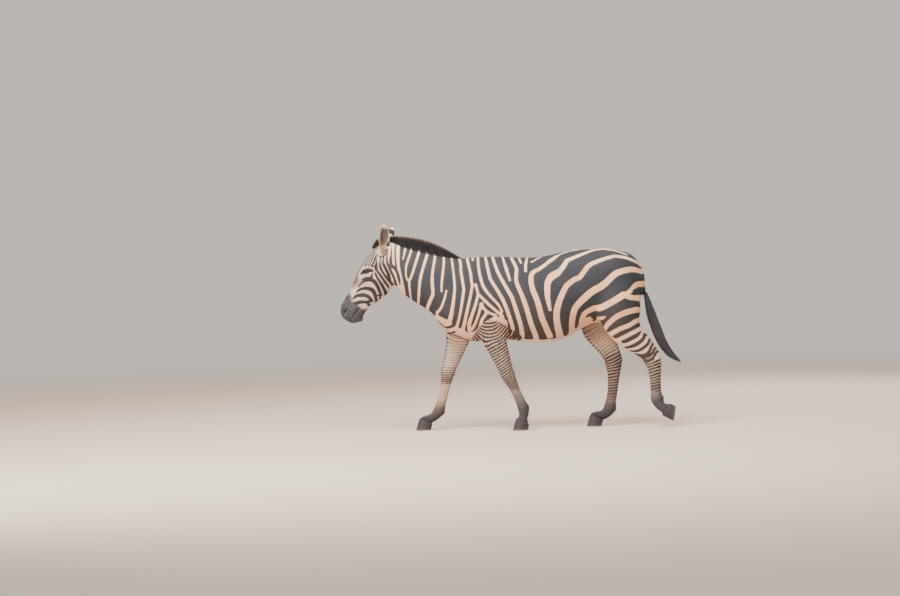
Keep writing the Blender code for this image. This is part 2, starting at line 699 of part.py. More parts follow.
def make_ears(flesh, group):
    """The two ears, as open cups with a wall."""
    rows = eased(EAR_ROWS, STEPS)
    for side, word in ((-1, "left"), (1, "right")):
        s, h, y = EAR_ROOT
        root = head_point(s, h, y * side)
        up = Vector(EAR_TIPS[word]).normalized()
        opening = Vector(EAR_OPENINGS[word])
        opening = (opening - up * opening.dot(up)).normalized()
        across = up.cross(opening)
        bm = bmesh.new()
        bmesh.ops.create_grid(bm, x_segments=EAR_GRID, y_segments=EAR_GRID, size=1.0)
        for vert in bm.verts:
            level = (vert.co.y + 1) / 2
            radius = np.interp(level, rows[:, 0], rows[:, 1])
            turn = vert.co.x * math.radians(np.interp(level, rows[:, 0], rows[:, 2]))
            out = across * math.sin(turn) - opening * math.cos(turn)
            vert.co = root + up * (EAR_LENGTH * level) + out * radius
        ear = new_object("ear_" + word, mesh_from(bm, "ear"), group)
        wall = ear.modifiers.new("wall", "SOLIDIFY")
        wall.thickness = EAR_WALL
        wall.offset = 0.0
        finish(new_object("ear_" + word, cut(ear, [flesh]), group), "coat")


def make_crest(name, stations, flesh, group):
    """Upright hair over the crest of the neck or the forehead."""
    numbers = [(*top, *bottom, half) for top, bottom, half in stations]
    sections = [section((r[0], 0, r[1]), (r[2], 0, r[3]), r[4], 0.40, 2.2, 2.6)
                for r in eased(numbers, 2)]
    bm = lofting_bmesh()
    loft(bm, sections, HAIR_SIDES)
    crest = new_object(name, mesh_from(bm, name), group)
    finish(new_object(name, cut(crest, [flesh]), group), "dark_hair")


def tail_sections():
    """Sections of the tail, each square to its centre line."""
    rows = eased(TAIL, 3)
    places = []
    for i, (x, z, deep, wide) in enumerate(rows):
        ahead, behind = rows[min(i + 1, len(rows) - 1)], rows[max(i - 1, 0)]
        way = Vector((ahead[0] - behind[0], 0, ahead[1] - behind[1])).normalized()
        out = Vector((-way.z, 0, way.x))
        places.append(limb_section(Vector((x, 0, z)), out * deep, out * deep,
                                   Vector((0, wide, 0))))
    return places


def make_tail(flesh, group, cutters):
    """The dock and, below it, the long hair of the tail."""
    bm = lofting_bmesh()
    loft(bm, tail_sections(), HAIR_SIDES)
    tail = new_object("whole_tail", mesh_from(bm, "tail"), group)
    plate = box_cutter("cut_tail", (1.048, 0, DOCK_END), (0, 0, 1), (1, 0, 0),
                       (0.1, 0.1, GAP), cutters)
    parted = new_object("parted_tail", cut(tail, [flesh, plate]), group)
    places = {"tail_dock": (1.020, 0, 1.050), "tail_switch": (1.140, 0, 0.720)}
    name_bodies(loose_bodies(parted), places, "dark_hair")


def make_zebra():
    """Every part of the animal."""
    clear_scene()
    parts = new_collection("zebra")
    cutters = new_collection("cutters")
    body = fused_body(cutters)
    flesh = flesh_cutter(body, cutters)
    part_flesh(body, parts, cutters)
    make_eyes(parts)
    make_hooves(parts)
    make_ears(flesh, parts)
    make_crest("mane", MANE, flesh, parts)
    make_crest("forelock", FORELOCK, flesh, parts)
    make_tail(flesh, parts, cutters)


make_zebra()
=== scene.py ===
"""The looks of the plains zebra: one skin over its frame, and on it the markings and the coat.

The skin is lofted from the same anatomy as the solids, fused, smoothed and sculpted, and lies
a little inside them. Stripes are painted strokes: their middle lines and half widths are given
for the left side, and the right side has them with a shift of its own. The short hair, the
mane and the switch of the tail are thin closed blades. Everything is in metres, and the animal
faces -X.
"""

import math

import bmesh
import bpy
import numpy as np
from mathutils import Matrix, Vector, noise
from mathutils.bvhtree import BVHTree


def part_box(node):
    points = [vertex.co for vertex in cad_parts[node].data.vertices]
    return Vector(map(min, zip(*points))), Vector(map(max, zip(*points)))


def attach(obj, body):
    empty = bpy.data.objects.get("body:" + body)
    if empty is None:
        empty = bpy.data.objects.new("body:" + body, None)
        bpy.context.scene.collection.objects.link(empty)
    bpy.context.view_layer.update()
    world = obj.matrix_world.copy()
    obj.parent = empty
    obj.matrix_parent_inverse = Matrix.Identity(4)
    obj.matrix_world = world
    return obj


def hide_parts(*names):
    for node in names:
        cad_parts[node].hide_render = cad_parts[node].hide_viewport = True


# Skin
VOXEL = 0.0096              # grain of the fused skin
COAT_DEPTH = 0.002          # how far the skin lies inside the solids
STEPS = 4                   # lofted rings from one named station to the next
SMOOTH_ROUNDS = 6           # rounds of smoothing over the whole form
JOIN_ROUNDS = 28            # and where limbs and head join the trunk
FINE_ROUNDS = 3             # over the head, after its faces are split
EAR_ROUNDS = 5              # round the feet of the ears
BODY_SIDES = 48
LIMB_SIDES = 32

# Trunk and neck, from the tail forwards. Each station gives the top X and Z, the bottom
# X and Z, the half width, where between bottom and top it is widest, and the roundness
# of the upper and of the lower half (2 is an ellipse, less is pointed, more is square).
TRUNK = {
    "buttock": (1.022, 1.150, 1.004, 0.985, 0.050, 0.50, 2.0, 2.0),
    "tail_head": (0.985, 1.250, 0.955, 0.905, 0.118, 0.48, 2.0, 2.0),
    "rump": (0.925, 1.318, 0.900, 0.860, 0.166, 0.50, 2.1, 2.0),
    "hip": (0.840, 1.350, 0.820, 0.835, 0.198, 0.52, 2.2, 2.0),
    "croup": (0.740, 1.366, 0.730, 0.815, 0.213, 0.52, 2.1, 2.0),
    "croup_top": (0.640, 1.369, 0.640, 0.795, 0.217, 0.52, 2.1, 2.0),
    "loin": (0.540, 1.362, 0.540, 0.752, 0.218, 0.52, 2.1, 2.0),
    "flank": (0.440, 1.348, 0.440, 0.696, 0.226, 0.50, 2.1, 2.1),
    "last_rib": (0.330, 1.325, 0.330, 0.662, 0.238, 0.47, 2.1, 2.1),
    "belly": (0.220, 1.308, 0.220, 0.650, 0.243, 0.45, 2.05, 2.1),
    "mid_rib": (0.110, 1.308, 0.100, 0.664, 0.237, 0.44, 2.0, 2.1),
    "girth": (0.010, 1.314, -0.020, 0.682, 0.221, 0.44, 1.9, 2.0),
    "elbow": (-0.090, 1.320, -0.140, 0.682, 0.205, 0.45, 1.8, 2.0),
    "withers_back": (-0.190, 1.321, -0.270, 0.675, 0.195, 0.45, 1.7, 2.0),
    "withers": (-0.290, 1.316, -0.390, 0.700, 0.185, 0.45, 1.7, 2.0),
    "shoulder": (-0.370, 1.312, -0.480, 0.745, 0.170, 0.42, 1.7, 2.0),
    "breast": (-0.440, 1.322, -0.535, 0.810, 0.150, 0.40, 1.7, 2.0),
    "neck_root": (-0.510, 1.335, -0.572, 0.870, 0.126, 0.40, 1.7, 2.0),
    "neck_low": (-0.590, 1.352, -0.625, 0.922, 0.112, 0.42, 1.7, 2.0),
    "neck_mid": (-0.680, 1.378, -0.695, 0.968, 0.102, 0.44, 1.7, 2.0),
    "neck_high": (-0.770, 1.404, -0.765, 1.015, 0.094, 0.46, 1.7, 2.0),
    "neck_top": (-0.850, 1.430, -0.825, 1.062, 0.084, 0.50, 1.8, 2.0),
    "nape": (-0.910, 1.440, -0.870, 1.120, 0.068, 0.55, 1.9, 2.0),
}

# Head, in its own axes: the way from the poll to the nose, then heights above that line
# for the forehead side and the jaw side, the half width and the shape as for the trunk.
POLL = Vector((-0.937, 0.0, 1.440))
HEAD_PITCH = math.radians(56)
HEAD = {
    "nape": (-0.035, -0.020, -0.130, 0.045, 0.55, 2.0, 2.0),
    "poll": (0.015, 0.018, -0.185, 0.070, 0.62, 2.0, 2.0),
    "ears": (0.080, 0.046, -0.210, 0.085, 0.66, 2.2, 1.9),
    "brow": (0.155, 0.062, -0.225, 0.094, 0.70, 2.3, 1.8),
    "eyes": (0.235, 0.066, -0.232, 0.096, 0.72, 2.4, 1.7),
    "cheek": (0.300, 0.060, -0.230, 0.088, 0.70, 2.4, 1.7),
    "jaw": (0.360, 0.050, -0.214, 0.074, 0.66, 2.3, 1.8),
    "nose": (0.420, 0.040, -0.188, 0.061, 0.62, 2.2, 1.9),
    "bars": (0.480, 0.033, -0.166, 0.054, 0.58, 2.2, 2.0),
    "nostril": (0.540, 0.032, -0.160, 0.056, 0.54, 2.3, 2.1),
    "lips": (0.590, 0.026, -0.160, 0.058, 0.52, 2.3, 2.2),
    "muzzle": (0.630, 0.004, -0.145, 0.052, 0.52, 2.2, 2.2),
    "tip": (0.655, -0.030, -0.110, 0.030, 0.50, 2.0, 2.0),
}

# Limbs: the place along the chain of joints, then the half sizes to the front, to the
# back and to the sides.
FORE_GIRTHS = (
    (0.00, 0.080, 0.080, 0.050), (0.30, 0.104, 0.100, 0.064), (1.00, 0.100, 0.096, 0.066),
    (1.25, 0.086, 0.083, 0.059), (1.50, 0.073, 0.071, 0.051), (1.75, 0.063, 0.060, 0.045),
    (1.92, 0.058, 0.053, 0.045), (2.00, 0.057, 0.051, 0.045), (2.10, 0.053, 0.050, 0.042),
    (2.30, 0.042, 0.045, 0.031), (2.50, 0.038, 0.042, 0.028), (2.75, 0.037, 0.043, 0.029),
    (2.90, 0.040, 0.047, 0.034), (3.00, 0.042, 0.050, 0.036), (3.30, 0.037, 0.042, 0.032),
    (3.60, 0.037, 0.039, 0.033), (3.85, 0.042, 0.043, 0.037), (4.00, 0.047, 0.046, 0.040),
)
HIND_GIRTHS = (
    (0.00, 0.120, 0.120, 0.060), (0.25, 0.165, 0.160, 0.098), (1.00, 0.172, 0.166, 0.112),
    (1.50, 0.150, 0.148, 0.094), (2.00, 0.124, 0.124, 0.076), (2.35, 0.100, 0.100, 0.062),
    (2.70, 0.079, 0.080, 0.051), (2.90, 0.069, 0.075, 0.046), (3.00, 0.065, 0.071, 0.045),
    (3.12, 0.061, 0.063, 0.043), (3.28, 0.051, 0.052, 0.035), (3.50, 0.043, 0.045, 0.030),
    (3.75, 0.041, 0.045, 0.030), (3.92, 0.044, 0.050, 0.035), (4.00, 0.046, 0.054, 0.038),
    (4.30, 0.040, 0.043, 0.033), (4.60, 0.038, 0.039, 0.033), (4.85, 0.042, 0.042, 0.037),
    (5.00, 0.047, 0.046, 0.040),
)

# Joints down each leg, from inside the trunk to the middle of the coronet.
LEGS = {
    "fore_left": ((-0.170, -0.125, 0.930), (-0.128, -0.135, 0.715), (-0.028, -0.130, 0.425),
                  (0.076, -0.115, 0.168), (0.072, -0.112, 0.070)),
    "fore_right": ((-0.340, 0.125, 0.930), (-0.392, 0.135, 0.715), (-0.480, 0.130, 0.440),
                   (-0.563, 0.115, 0.150), (-0.660, 0.112, 0.070)),
    "hind_left": ((0.790, -0.110, 1.120), (0.820, -0.128, 0.900), (0.872, -0.138, 0.735),
                  (1.062, -0.125, 0.518), (1.092, -0.115, 0.213), (1.166, -0.112, 0.130)),
    "hind_right": ((0.760, 0.110, 1.120), (0.706, 0.128, 0.900), (0.672, 0.138, 0.745),
                   (0.784, 0.125, 0.490), (0.745, 0.115, 0.140), (0.648, 0.112, 0.072)),
}

# Places where the form is smoothed most: the middle and the radius of each
JOINS = (
    ((0.800, 0.190, 1.080), 0.200), ((0.800, -0.190, 1.080), 0.200),
    ((-0.340, 0.170, 0.860), 0.200), ((-0.180, -0.170, 0.860), 0.200),
    ((-0.860, 0.000, 1.130), 0.070), ((-0.915, 0.000, 1.430), 0.060),
)

# Muscles, bones and hollows of the body: the middle, the radii, the tilt in degrees about
# the Y axis and the height of each mound, below 0 for a hollow. Both sides have them.
BODY_MOUNDS = {
    "blade": ((-0.300, 0.150, 1.100), (0.070, 0.120, 0.210), 24, 0.010),
    "upper_arm": ((-0.250, 0.190, 0.910), (0.150, 0.100, 0.130), 20, 0.016),
    "shoulder_point": ((-0.480, 0.120, 0.890), (0.070, 0.080, 0.085), 0, 0.012),
    "breast": ((-0.550, 0.055, 0.850), (0.060, 0.050, 0.070), 0, 0.010),
    "girth_dip": ((0.020, 0.160, 0.760), (0.090, 0.120, 0.110), 0, -0.010),
    "neck_hollow": ((-0.430, 0.120, 1.150), (0.050, 0.100, 0.150), 24, -0.008),
    "hip_point": ((0.560, 0.190, 1.250), (0.060, 0.070, 0.060), 0, 0.010),
    "flank_hollow": ((0.490, 0.230, 1.130), (0.080, 0.100, 0.110), 0, -0.010),
    "croup": ((0.740, 0.160, 1.220), (0.170, 0.120, 0.120), 12, 0.016),
    "thigh": ((0.850, 0.210, 1.000), (0.150, 0.110, 0.190), 12, 0.014),
    "ham": ((0.980, 0.080, 1.020), (0.070, 0.070, 0.150), 8, 0.012),
}
CREASES = {
    "breast_groove": ((-0.570, 0.000, 0.830), (0.070, 0.020, 0.090), -0.012),
    "buttock_groove": ((1.020, 0.000, 0.980), (0.080, 0.026, 0.180), -0.016),
}

# Bones and muscles of the head, in the head's own axes: along, above and beside the line
# from the poll to the nose, then radii in that order and the height.
HEAD_MOUNDS = {
    "jaw_muscle": ((0.265, -0.120, 0.080), (0.100, 0.085, 0.060), 0.012),
    "temple": ((0.120, 0.000, 0.080), (0.060, 0.045, 0.050), 0.006),
    "eye_hollow": ((0.185, 0.030, 0.075), (0.024, 0.020, 0.030), -0.007),
    "brow_bone": ((0.235, 0.036, 0.085), (0.045, 0.020, 0.040), 0.010),
    "cheek_bone": ((0.335, -0.022, 0.075), (0.085, 0.014, 0.040), 0.007),
    "cheek_hollow": ((0.400, -0.070, 0.060), (0.060, 0.050, 0.040), -0.006),
    "nostril": ((0.585, -0.012, 0.050), (0.036, 0.026, 0.030), 0.012),
    "upper_lip": ((0.630, -0.050, 0.030), (0.030, 0.040, 0.035), 0.006),
    "chin": ((0.590, -0.160, 0.000), (0.030, 0.030, 0.030), 0.008),
    "mouth": ((0.560, -0.100, 0.060), (0.050, 0.012, 0.030), -0.006),
}

# Hooves, in their own axes: the toe points to -X and the sole lies on Z = 0.
SOLE_LENGTH = 0.118
SOLE_WIDTH = 0.090
CORONET_FRONT = (-0.030, 0.092)     # X and Z of the top of the wall over the toe
CORONET_BACK = (0.070, 0.045)       # X and Z of the top of the wall over the heel
CORONET_WIDTH = 0.082
HEEL_NARROWING = 0.20
HORN_HEIGHT = 0.09                  # over which the horn's colour changes
HOOVES = {                          # middle of the sole, and degrees that the toe is turned down
    "fore_left": ((0.055, -0.112, 0.0), 0),
    "fore_right": ((-0.680, 0.112, 0.0), 0),
    "hind_left": ((1.226, -0.112, 0.100), 79),
    "hind_right": ((0.628, 0.112, 0.0), 0),
}

# Eyes, in the head's axes
EYE_PLACE = (0.2535, 0.0075, 0.081)
EYE_RADIUS = 0.0225

# Ears: place of the root in the head's axes, the direction of the tip, and the way that
# the cup opens. Each row of the cup gives how far up it is, its radius and its half wrap.
EAR_LENGTH = 0.212
EAR_ROOT = (0.068, -0.024, 0.052)
EAR_TIPS = {"left": (0.09, -0.16, 1.00), "right": (0.36, 0.30, 0.90)}
EAR_OPENINGS = {"left": (-0.30, -1.00, 0.00), "right": (0.45, 1.00, 0.00)}
EAR_ROWS = ((0.00, 0.024, 155), (0.18, 0.030, 135), (0.36, 0.038, 112), (0.54, 0.042, 98),
            (0.70, 0.039, 88), (0.84, 0.031, 78), (0.94, 0.020, 66), (1.00, 0.008, 50))
EAR_WALL = 0.0045
EAR_GRID = (26, 34)         # columns and rows of the cup
EAR_FEET = {"left": 0.17, "right": 0.12}    # share of the length at which the markings begin

# Mane: the top edge and the root of each station along the crest, and the half thickness
MANE = (
    ((-0.928, 1.490), (-0.912, 1.395), 0.018), ((-0.871, 1.497), (-0.855, 1.395), 0.021),
    ((-0.790, 1.491), (-0.785, 1.370), 0.023), ((-0.700, 1.478), (-0.705, 1.345), 0.024),
    ((-0.603, 1.452), (-0.615, 1.320), 0.024), ((-0.496, 1.402), (-0.520, 1.300), 0.022),
    ((-0.408, 1.345), (-0.440, 1.285), 0.017), ((-0.350, 1.303), (-0.380, 1.275), 0.008),
)
FORELOCK = (
    ((-0.929, 1.488), (-0.913, 1.395), 0.017), ((-0.975, 1.486), (-0.955, 1.395), 0.020),
    ((-1.010, 1.462), (-0.985, 1.375), 0.018), ((-1.034, 1.415), (-1.008, 1.350), 0.009),
)

# Tail: centre line, half size in the plane of the curve and half size sideways
TAIL = (
    (0.960, 1.240, 0.024, 0.026), (1.000, 1.190, 0.023, 0.025), (1.016, 1.120, 0.020, 0.022),
    (1.028, 1.040, 0.017, 0.019), (1.048, 0.955, 0.016, 0.018), (1.066, 0.880, 0.021, 0.021),
    (1.104, 0.760, 0.032, 0.027), (1.151, 0.640, 0.030, 0.025), (1.210, 0.550, 0.023, 0.018),
    (1.290, 0.484, 0.004, 0.004),
)
DOCK_END = 0.870            # height down to which the skin of the tail is lofted
SWITCH_TOP = 1.02           # height at which the tail's long hair begins
TAIL_CORE = 0.80            # share of the tail's thickness that its inner mass fills

# Face details in the head's axes, cut into the fine skin: along, above and beside, then radii
# in that order and the height, below 0 for a hollow
FACE = {
    "nostril_pit": ((0.592, -0.026, 0.050), (0.022, 0.0085, 0.022), -0.017),
    "nostril_tail": ((0.568, -0.012, 0.056), (0.014, 0.008, 0.022), -0.006),
    "nostril_wing": ((0.596, -0.008, 0.056), (0.026, 0.009, 0.020), 0.0045),
    "nostril_rim": ((0.588, -0.046, 0.056), (0.026, 0.009, 0.020), 0.0040),
    "cheek_crest": ((0.330, -0.040, 0.082), (0.085, 0.009, 0.030), 0.0045),
    "bridge_side": ((0.400, 0.004, 0.056), (0.070, 0.014, 0.020), -0.0040),
    "jaw_edge": ((0.300, -0.190, 0.060), (0.110, 0.018, 0.040), 0.0040),
    "throat_vein": ((0.235, -0.150, 0.090), (0.080, 0.008, 0.030), 0.0025),
    "brow_fold": ((0.225, 0.034, 0.094), (0.032, 0.006, 0.020), 0.0045),
    "lid_fold": ((0.246, 0.027, 0.098), (0.026, 0.0035, 0.020), -0.0030),
    "under_fold": ((0.262, -0.018, 0.096), (0.026, 0.0035, 0.020), -0.0022),
    "eye_corner": ((0.284, -0.004, 0.090), (0.014, 0.005, 0.016), -0.0030),
    "lip_corner": ((0.500, -0.113, 0.040), (0.016, 0.010, 0.020), -0.0035),
    "lower_lip": ((0.600, -0.112, 0.040), (0.040, 0.014, 0.030), 0.0040),
    "chin_pad": ((0.585, -0.158, 0.000), (0.026, 0.020, 0.026), 0.0040),
}
MOUTH = ((0.655, -0.084), (0.620, -0.093), (0.570, -0.099), (0.530, -0.105), (0.502, -0.113))
MOUTH_GROOVE = 0.0045
MOUTH_WIDTH = 0.0045

# The eye's opening, along and across its middle
EYE_HALF = 0.0210
EYE_UPPER = 0.0138
EYE_LOWER = 0.0104
LID = 0.0022
EYE_TURN = math.radians(14)         # turn of the eye's long axis from the head's

# Bones, tendons and joints of the legs: the place on the chain of joints, then in millimetres
# how far to the front and to the outside, the radii along, to the front and sideways, and the
# height
FORE_DETAIL = (
    (2.00, 50, 0, 34, 20, 34, 5.0), (2.02, -45, 0, 22, 16, 20, 6.0), (2.04, 0, 40, 26, 22, 14, 3.0),
    (2.45, -12, 30, 75, 6, 12, -3.5), (2.45, -12, -30, 75, 6, 12, -3.5),
    (3.00, -46, 0, 22, 18, 20, 6.0), (3.00, 0, 34, 24, 16, 12, 3.0), (3.55, -40, 0, 18, 12, 20, -3.0),
    (1.35, 20, 55, 110, 20, 20, 4.0), (1.35, -35, 50, 110, 12, 20, -3.5),
)
HIND_DETAIL = (
    (2.98, -72, 0, 30, 18, 22, 7.0), (3.02, 55, 0, 34, 18, 30, 3.0), (3.06, 0, 42, 26, 20, 14, 3.5),
    (2.72, -36, 40, 60, 10, 20, -6.0), (2.72, -36, -40, 60, 10, 20, -6.0),
    (3.55, -12, 30, 90, 6, 12, -3.5), (3.55, -12, -30, 90, 6, 12, -3.5),
    (4.00, -50, 0, 22, 18, 20, 6.0), (4.00, 0, 36, 24, 16, 12, 3.0), (4.55, -40, 0, 18, 12, 20, -3.0),
)

# Stripes of the left side, in millimetres. Each stroke gives its half width at its start,
# middle and end, then X and Z of the points of its middle line in turn.
PALE_NECK = (
    ((10, 9, 10), -830, 1417, -838, 1267, -802, 1075, -804, 1029),
    ((11, 10, 9), -782, 1406, -803, 1315),
    ((11, 11, 9), -737, 1388, -772, 1291, -783, 1245, -781, 1175, -761, 1146),
    ((13, 12, 11), -677, 1377, -744, 1181, -760, 1150, -755, 1046, -742, 967),
    ((13, 14, 13), -609, 1377, -669, 1193, -684, 1103, -697, 967),
    ((12, 15, 18), -556, 1352, -585, 1183, -583, 1059, -591, 1027, -624, 952, -628, 905),
    ((11, 13, 11), -496, 1335, -495, 1277, -512, 1150, -517, 1067),
    ((10, 13, 15), -480, 1073, -498, 1005, -526, 939, -557, 903),
    ((11, 13, 21), -435, 1307, -421, 1172, -420, 1058, -453, 868, -474, 827),
)
PALE_BARREL = (
    ((12, 13, 12), -378, 1313, -368, 1268, -367, 1210, -351, 1098, -351, 1064, -379, 907,
     -404, 807),
    ((12, 12, 15), -318, 1311, -296, 1200, -290, 1133, -292, 1066, -370, 748),
    ((11, 10, 10), -276, 1317, -276, 1293),
    ((11, 14, 10), -235, 1321, -234, 1252, -223, 1174, -201, 1097, -156, 1030, -96, 963, -63, 906),
    ((12, 15, 17), -180, 1320, -153, 1175, -142, 1143, -58, 995, -8, 857, 13, 779, 11, 721),
    ((12, 16, 21), -127, 1321, -84, 1191, 1, 1030, 22, 978, 77, 781, 82, 702),
    ((10, 14, 11), -48, 1308, 0, 1140),
    ((13, 19, 23), 19, 1299, 51, 1228, 47, 1160, 53, 1113, 105, 972, 152, 806, 183, 721, 192, 677),
    ((10, 10, 11), 74, 1303, 88, 1266),
    ((10, 13, 13), 136, 1299, 123, 1253, 121, 1205),
    ((12, 9, 8), 170, 1272, 236, 1304, 295, 1322),
    ((15, 22, 25), 356, 1308, 235, 1226, 185, 1200, 168, 1184, 159, 1150, 165, 1080, 203, 973,
     234, 851, 295, 704),
    ((26, 25, 14), 353, 1180, 322, 1167, 299, 1143, 281, 1102, 279, 1012, 295, 911),
)
PALE_HAUNCH = (
    ((13, 9, 14), 306, 1278, 398, 1327, 508, 1356, 562, 1379),
    ((22, 14, 8), 311, 1157, 368, 1194, 400, 1226, 427, 1263, 453, 1284, 623, 1345, 702, 1355,
     748, 1351, 815, 1338, 890, 1309),
    ((27, 18, 13), 373, 695, 347, 817, 347, 897, 367, 974, 405, 1056, 431, 1094, 486, 1134,
     528, 1152, 590, 1229, 660, 1265, 769, 1297, 814, 1300, 892, 1284, 965, 1251, 991, 1228),
    ((24, 26, 20), 464, 716, 462, 808, 478, 897, 508, 944, 574, 1007, 629, 1048, 699, 1086,
     785, 1162, 825, 1182, 902, 1198, 958, 1193, 990, 1181),
    ((18, 24, 24), 528, 755, 536, 825, 548, 857, 571, 883, 634, 912, 691, 921, 852, 1010),
    ((14, 19, 22), 857, 1006, 906, 1040, 945, 1075, 970, 1085, 1004, 1085),
    ((20, 20, 27), 843, 1013, 923, 986, 1007, 977),
    ((16, 21, 22), 710, 722, 711, 757, 722, 778, 735, 796, 793, 845, 867, 877, 942, 894, 976, 894),
    ((16, 15, 13), 633, 828, 717, 844),
    ((18, 17, 18), 736, 707, 816, 752, 892, 781, 942, 809, 985, 820),
    ((16, 15, 15), 790, 650, 825, 678, 987, 756),
    ((12, 14, 13), 838, 617, 948, 667, 969, 682, 992, 710),
    ((13, 20, 23), 1000, 937, 994, 902, 993, 795, 1003, 714),
)
PALE_SHOULDER = (
    ((10, 12, 11), -257, 1115, -243, 1047, -236, 1037, -164, 961, -61, 869),
    ((10, 13, 15), -242, 1045, -262, 968, -310, 828, -314, 770),
    ((13, 11, 10), -225, 964, -178, 908, -112, 878),
    ((12, 11, 13), -216, 968, -269, 817, -303, 770),
    ((13, 12, 14), -181, 898, -219, 842, -238, 775, -264, 736),
    ((13, 13, 13), -254, 751, -232, 779, -205, 800, -132, 846, -110, 850, -60, 829),
)
DARK_BODY = (
    ((11, 10, 14), -558, 847, -500, 794, -467, 793, -435, 805),
    ((21, 12, 11), -551, 829, -518, 780, -493, 754, -458, 745, -425, 755),
    ((23, 23, 23), 938, 1029, 1015, 1041),
    ((21, 23, 24), 634, 865, 714, 874, 747, 887, 823, 935, 863, 947, 906, 947, 985, 933),
    ((15, 16, 14), 687, 781, 698, 802, 750, 865),
    ((14, 15, 17), 641, 851, 635, 827, 640, 803, 667, 801),
)
DARK_GASKIN = (
    ((9, 15, 13), 846, 602, 880, 612, 914, 621, 953, 639, 995, 673, 1006, 703),
    ((7, 12, 11), 885, 584, 920, 581, 964, 587, 1024, 628, 1046, 666),
    ((12, 11, 10), 905, 566, 934, 559, 979, 547, 1016, 556, 1042, 583, 1072, 647),
    ((7, 10, 9), 946, 545, 975, 538, 1010, 545, 1035, 569, 1065, 631),
    ((10, 10, 9), 962, 526, 984, 526, 1048, 549, 1086, 602),
    ((7, 10, 9), 974, 508, 993, 508, 1040, 511, 1049, 517, 1069, 529, 1099, 575),
)
DARK_HEAD = (
    ((5, 6, 8), -1038, 1215, -1043, 1171),
    ((9, 10, 11), -1005, 1291, -1008, 1256, -1004, 1232),
    ((6, 9, 12), -1018, 1221, -1004, 1187, -953, 1095, -937, 1038),
    ((8, 8, 9), -999, 1232, -917, 1105),
    ((8, 7, 9), -978, 1283, -975, 1260, -963, 1228, -932, 1180, -888, 1127),
    ((8, 10, 9), -956, 1290, -917, 1205, -906, 1157, -885, 1117),
    ((7, 8, 11), -923, 1291, -875, 1175, -858, 1108),
    ((8, 10, 11), -895, 1333, -895, 1297, -890, 1272, -852, 1222, -832, 1139),
    ((4, 14, 9), -1150, 1112, -1132, 1132, -1113, 1150, -1092, 1162, -1069, 1166, -1045, 1164,
     -1025, 1152, -1011, 1134, -996, 1103, -977, 1048),
    ((5, 15, 8), -1165, 1074, -1142, 1089, -1120, 1099, -1085, 1101, -1061, 1097, -1041, 1086,
     -1024, 1056, -1010, 978),
    ((7, 14, 10), -1190, 1022, -1170, 1042, -1147, 1049, -1099, 1049, -1069, 1033, -1047, 1005),
    ((14, 12, 7), -1191, 989, -1172, 987, -1140, 997, -1105, 998, -1083, 991, -1066, 975),
    ((9, 9, 9), -984, 1036, -986, 1015),
)
# Strokes about the eye
DARK_EYE = (
    ((10, 22, 11), -1122, 1212, -1103, 1228, -1083, 1233, -1060, 1238, -1036, 1234),
    ((3, 9, 9), -1128, 1162, -1110, 1173, -1085, 1181, -1062, 1180, -1042, 1190),
    ((3, 5, 6), -1052, 1262, -1030, 1268, -1012, 1262),
)
# Thin dark lines of the upper neck, and about the foot of the ear
DARK_NECK = (
    ((5, 6, 8), -893, 1425, -890, 1370, -895, 1325),
    ((4, 5, 7), -918, 1400, -925, 1340, -923, 1285),
    ((4, 5, 8), -945, 1357, -952, 1320, -956, 1284),
    ((4, 5, 7), -972, 1340, -976, 1310, -978, 1278),
    ((3, 5, 3), -998, 1358, -978, 1341, -952, 1342, -934, 1356),
    ((4, 5, 8), -1004, 1352, -1006, 1320, -1005, 1285),
    ((6, 8, 7), -860, 1440, -862, 1330, -855, 1250, -845, 1180, -830, 1120),
)

# Outline of the dark-grounded part of the coat, on which the pale strokes are laid: X and Z
# in millimetres
DARK_FIELD = (
    (-845, 1500), (-838, 1267), (-820, 1170), (-802, 1075), (-800, 1035), (-810, 1000),
    (-765, 945), (-700, 895), (-620, 860), (-560, 890), (-500, 860), (-420, 800), (-375, 775),
    (-330, 750), (-290, 750), (-250, 770), (-200, 820), (-130, 860), (-60, 860), (-30, 830),
    (-20, 740), (0, 684), (100, 672), (200, 667), (300, 677), (420, 704), (500, 760), (560, 835),
    (600, 850), (640, 800), (680, 765), (722, 722), (772, 685), (842, 640), (885, 622),
    (960, 650), (1000, 690), (1010, 750), (1012, 950), (1030, 1000), (1080, 1100), (1080, 1200),
    (1000, 1330), (900, 1460), (0, 1480), (-400, 1520),
)

# The pale strokes of each region and how much narrower they are laid, and the dark strokes
# over them with the length of their tapering ends and how much wider they are laid
PALE_STROKES = ((PALE_NECK, 0.0040), (PALE_BARREL, 0.0028), (PALE_SHOULDER, 0.0020),
                (PALE_HAUNCH, 0.0002))
DARK_STROKES = ((DARK_BODY + DARK_NECK + DARK_EYE, 0, 0), (DARK_GASKIN, 0.014, 0.0016),
                (DARK_HEAD, 0.016, 0.0024))
PALE_JOIN = 0.022                   # how near pale strokes run together
STROKE_STEP = 0.006                 # way between the points of a stroke on the skin

# Dark line along the back, pale bands beside it and dark line under the belly: from and to
# X, how high or how low they keep, and their half width
BACK_LINE = (0.12, 0.98, 1.18, 0.007)
BACK_BANDS = (0.42, 0.92, 1.20, 0.007)
BAND_PLACE = 0.036                  # how far the bands' middles are from the line's
BELLY_LINE = (-0.35, 0.50, 0.80, 0.014)

# The right side is read off the left one at a place moved along X, as its legs are placed
# otherwise: height and move
FORE_MOVE = ((0.715, 0.264), (0.930, 0.170), (1.150, 0.000))
HIND_MOVE = ((0.500, 0.280), (0.740, 0.130), (0.900, 0.060), (1.120, 0.000))
WARP = 0.012                        # how far the right side's stripes wander from the left's

# Lines of the forehead: the way along the head and the spacing there
BROW_SPACING = ((0.03, 0.012), (0.10, 0.019), (0.17, 0.024), (0.25, 0.026), (0.36, 0.020),
                (0.46, 0.014))

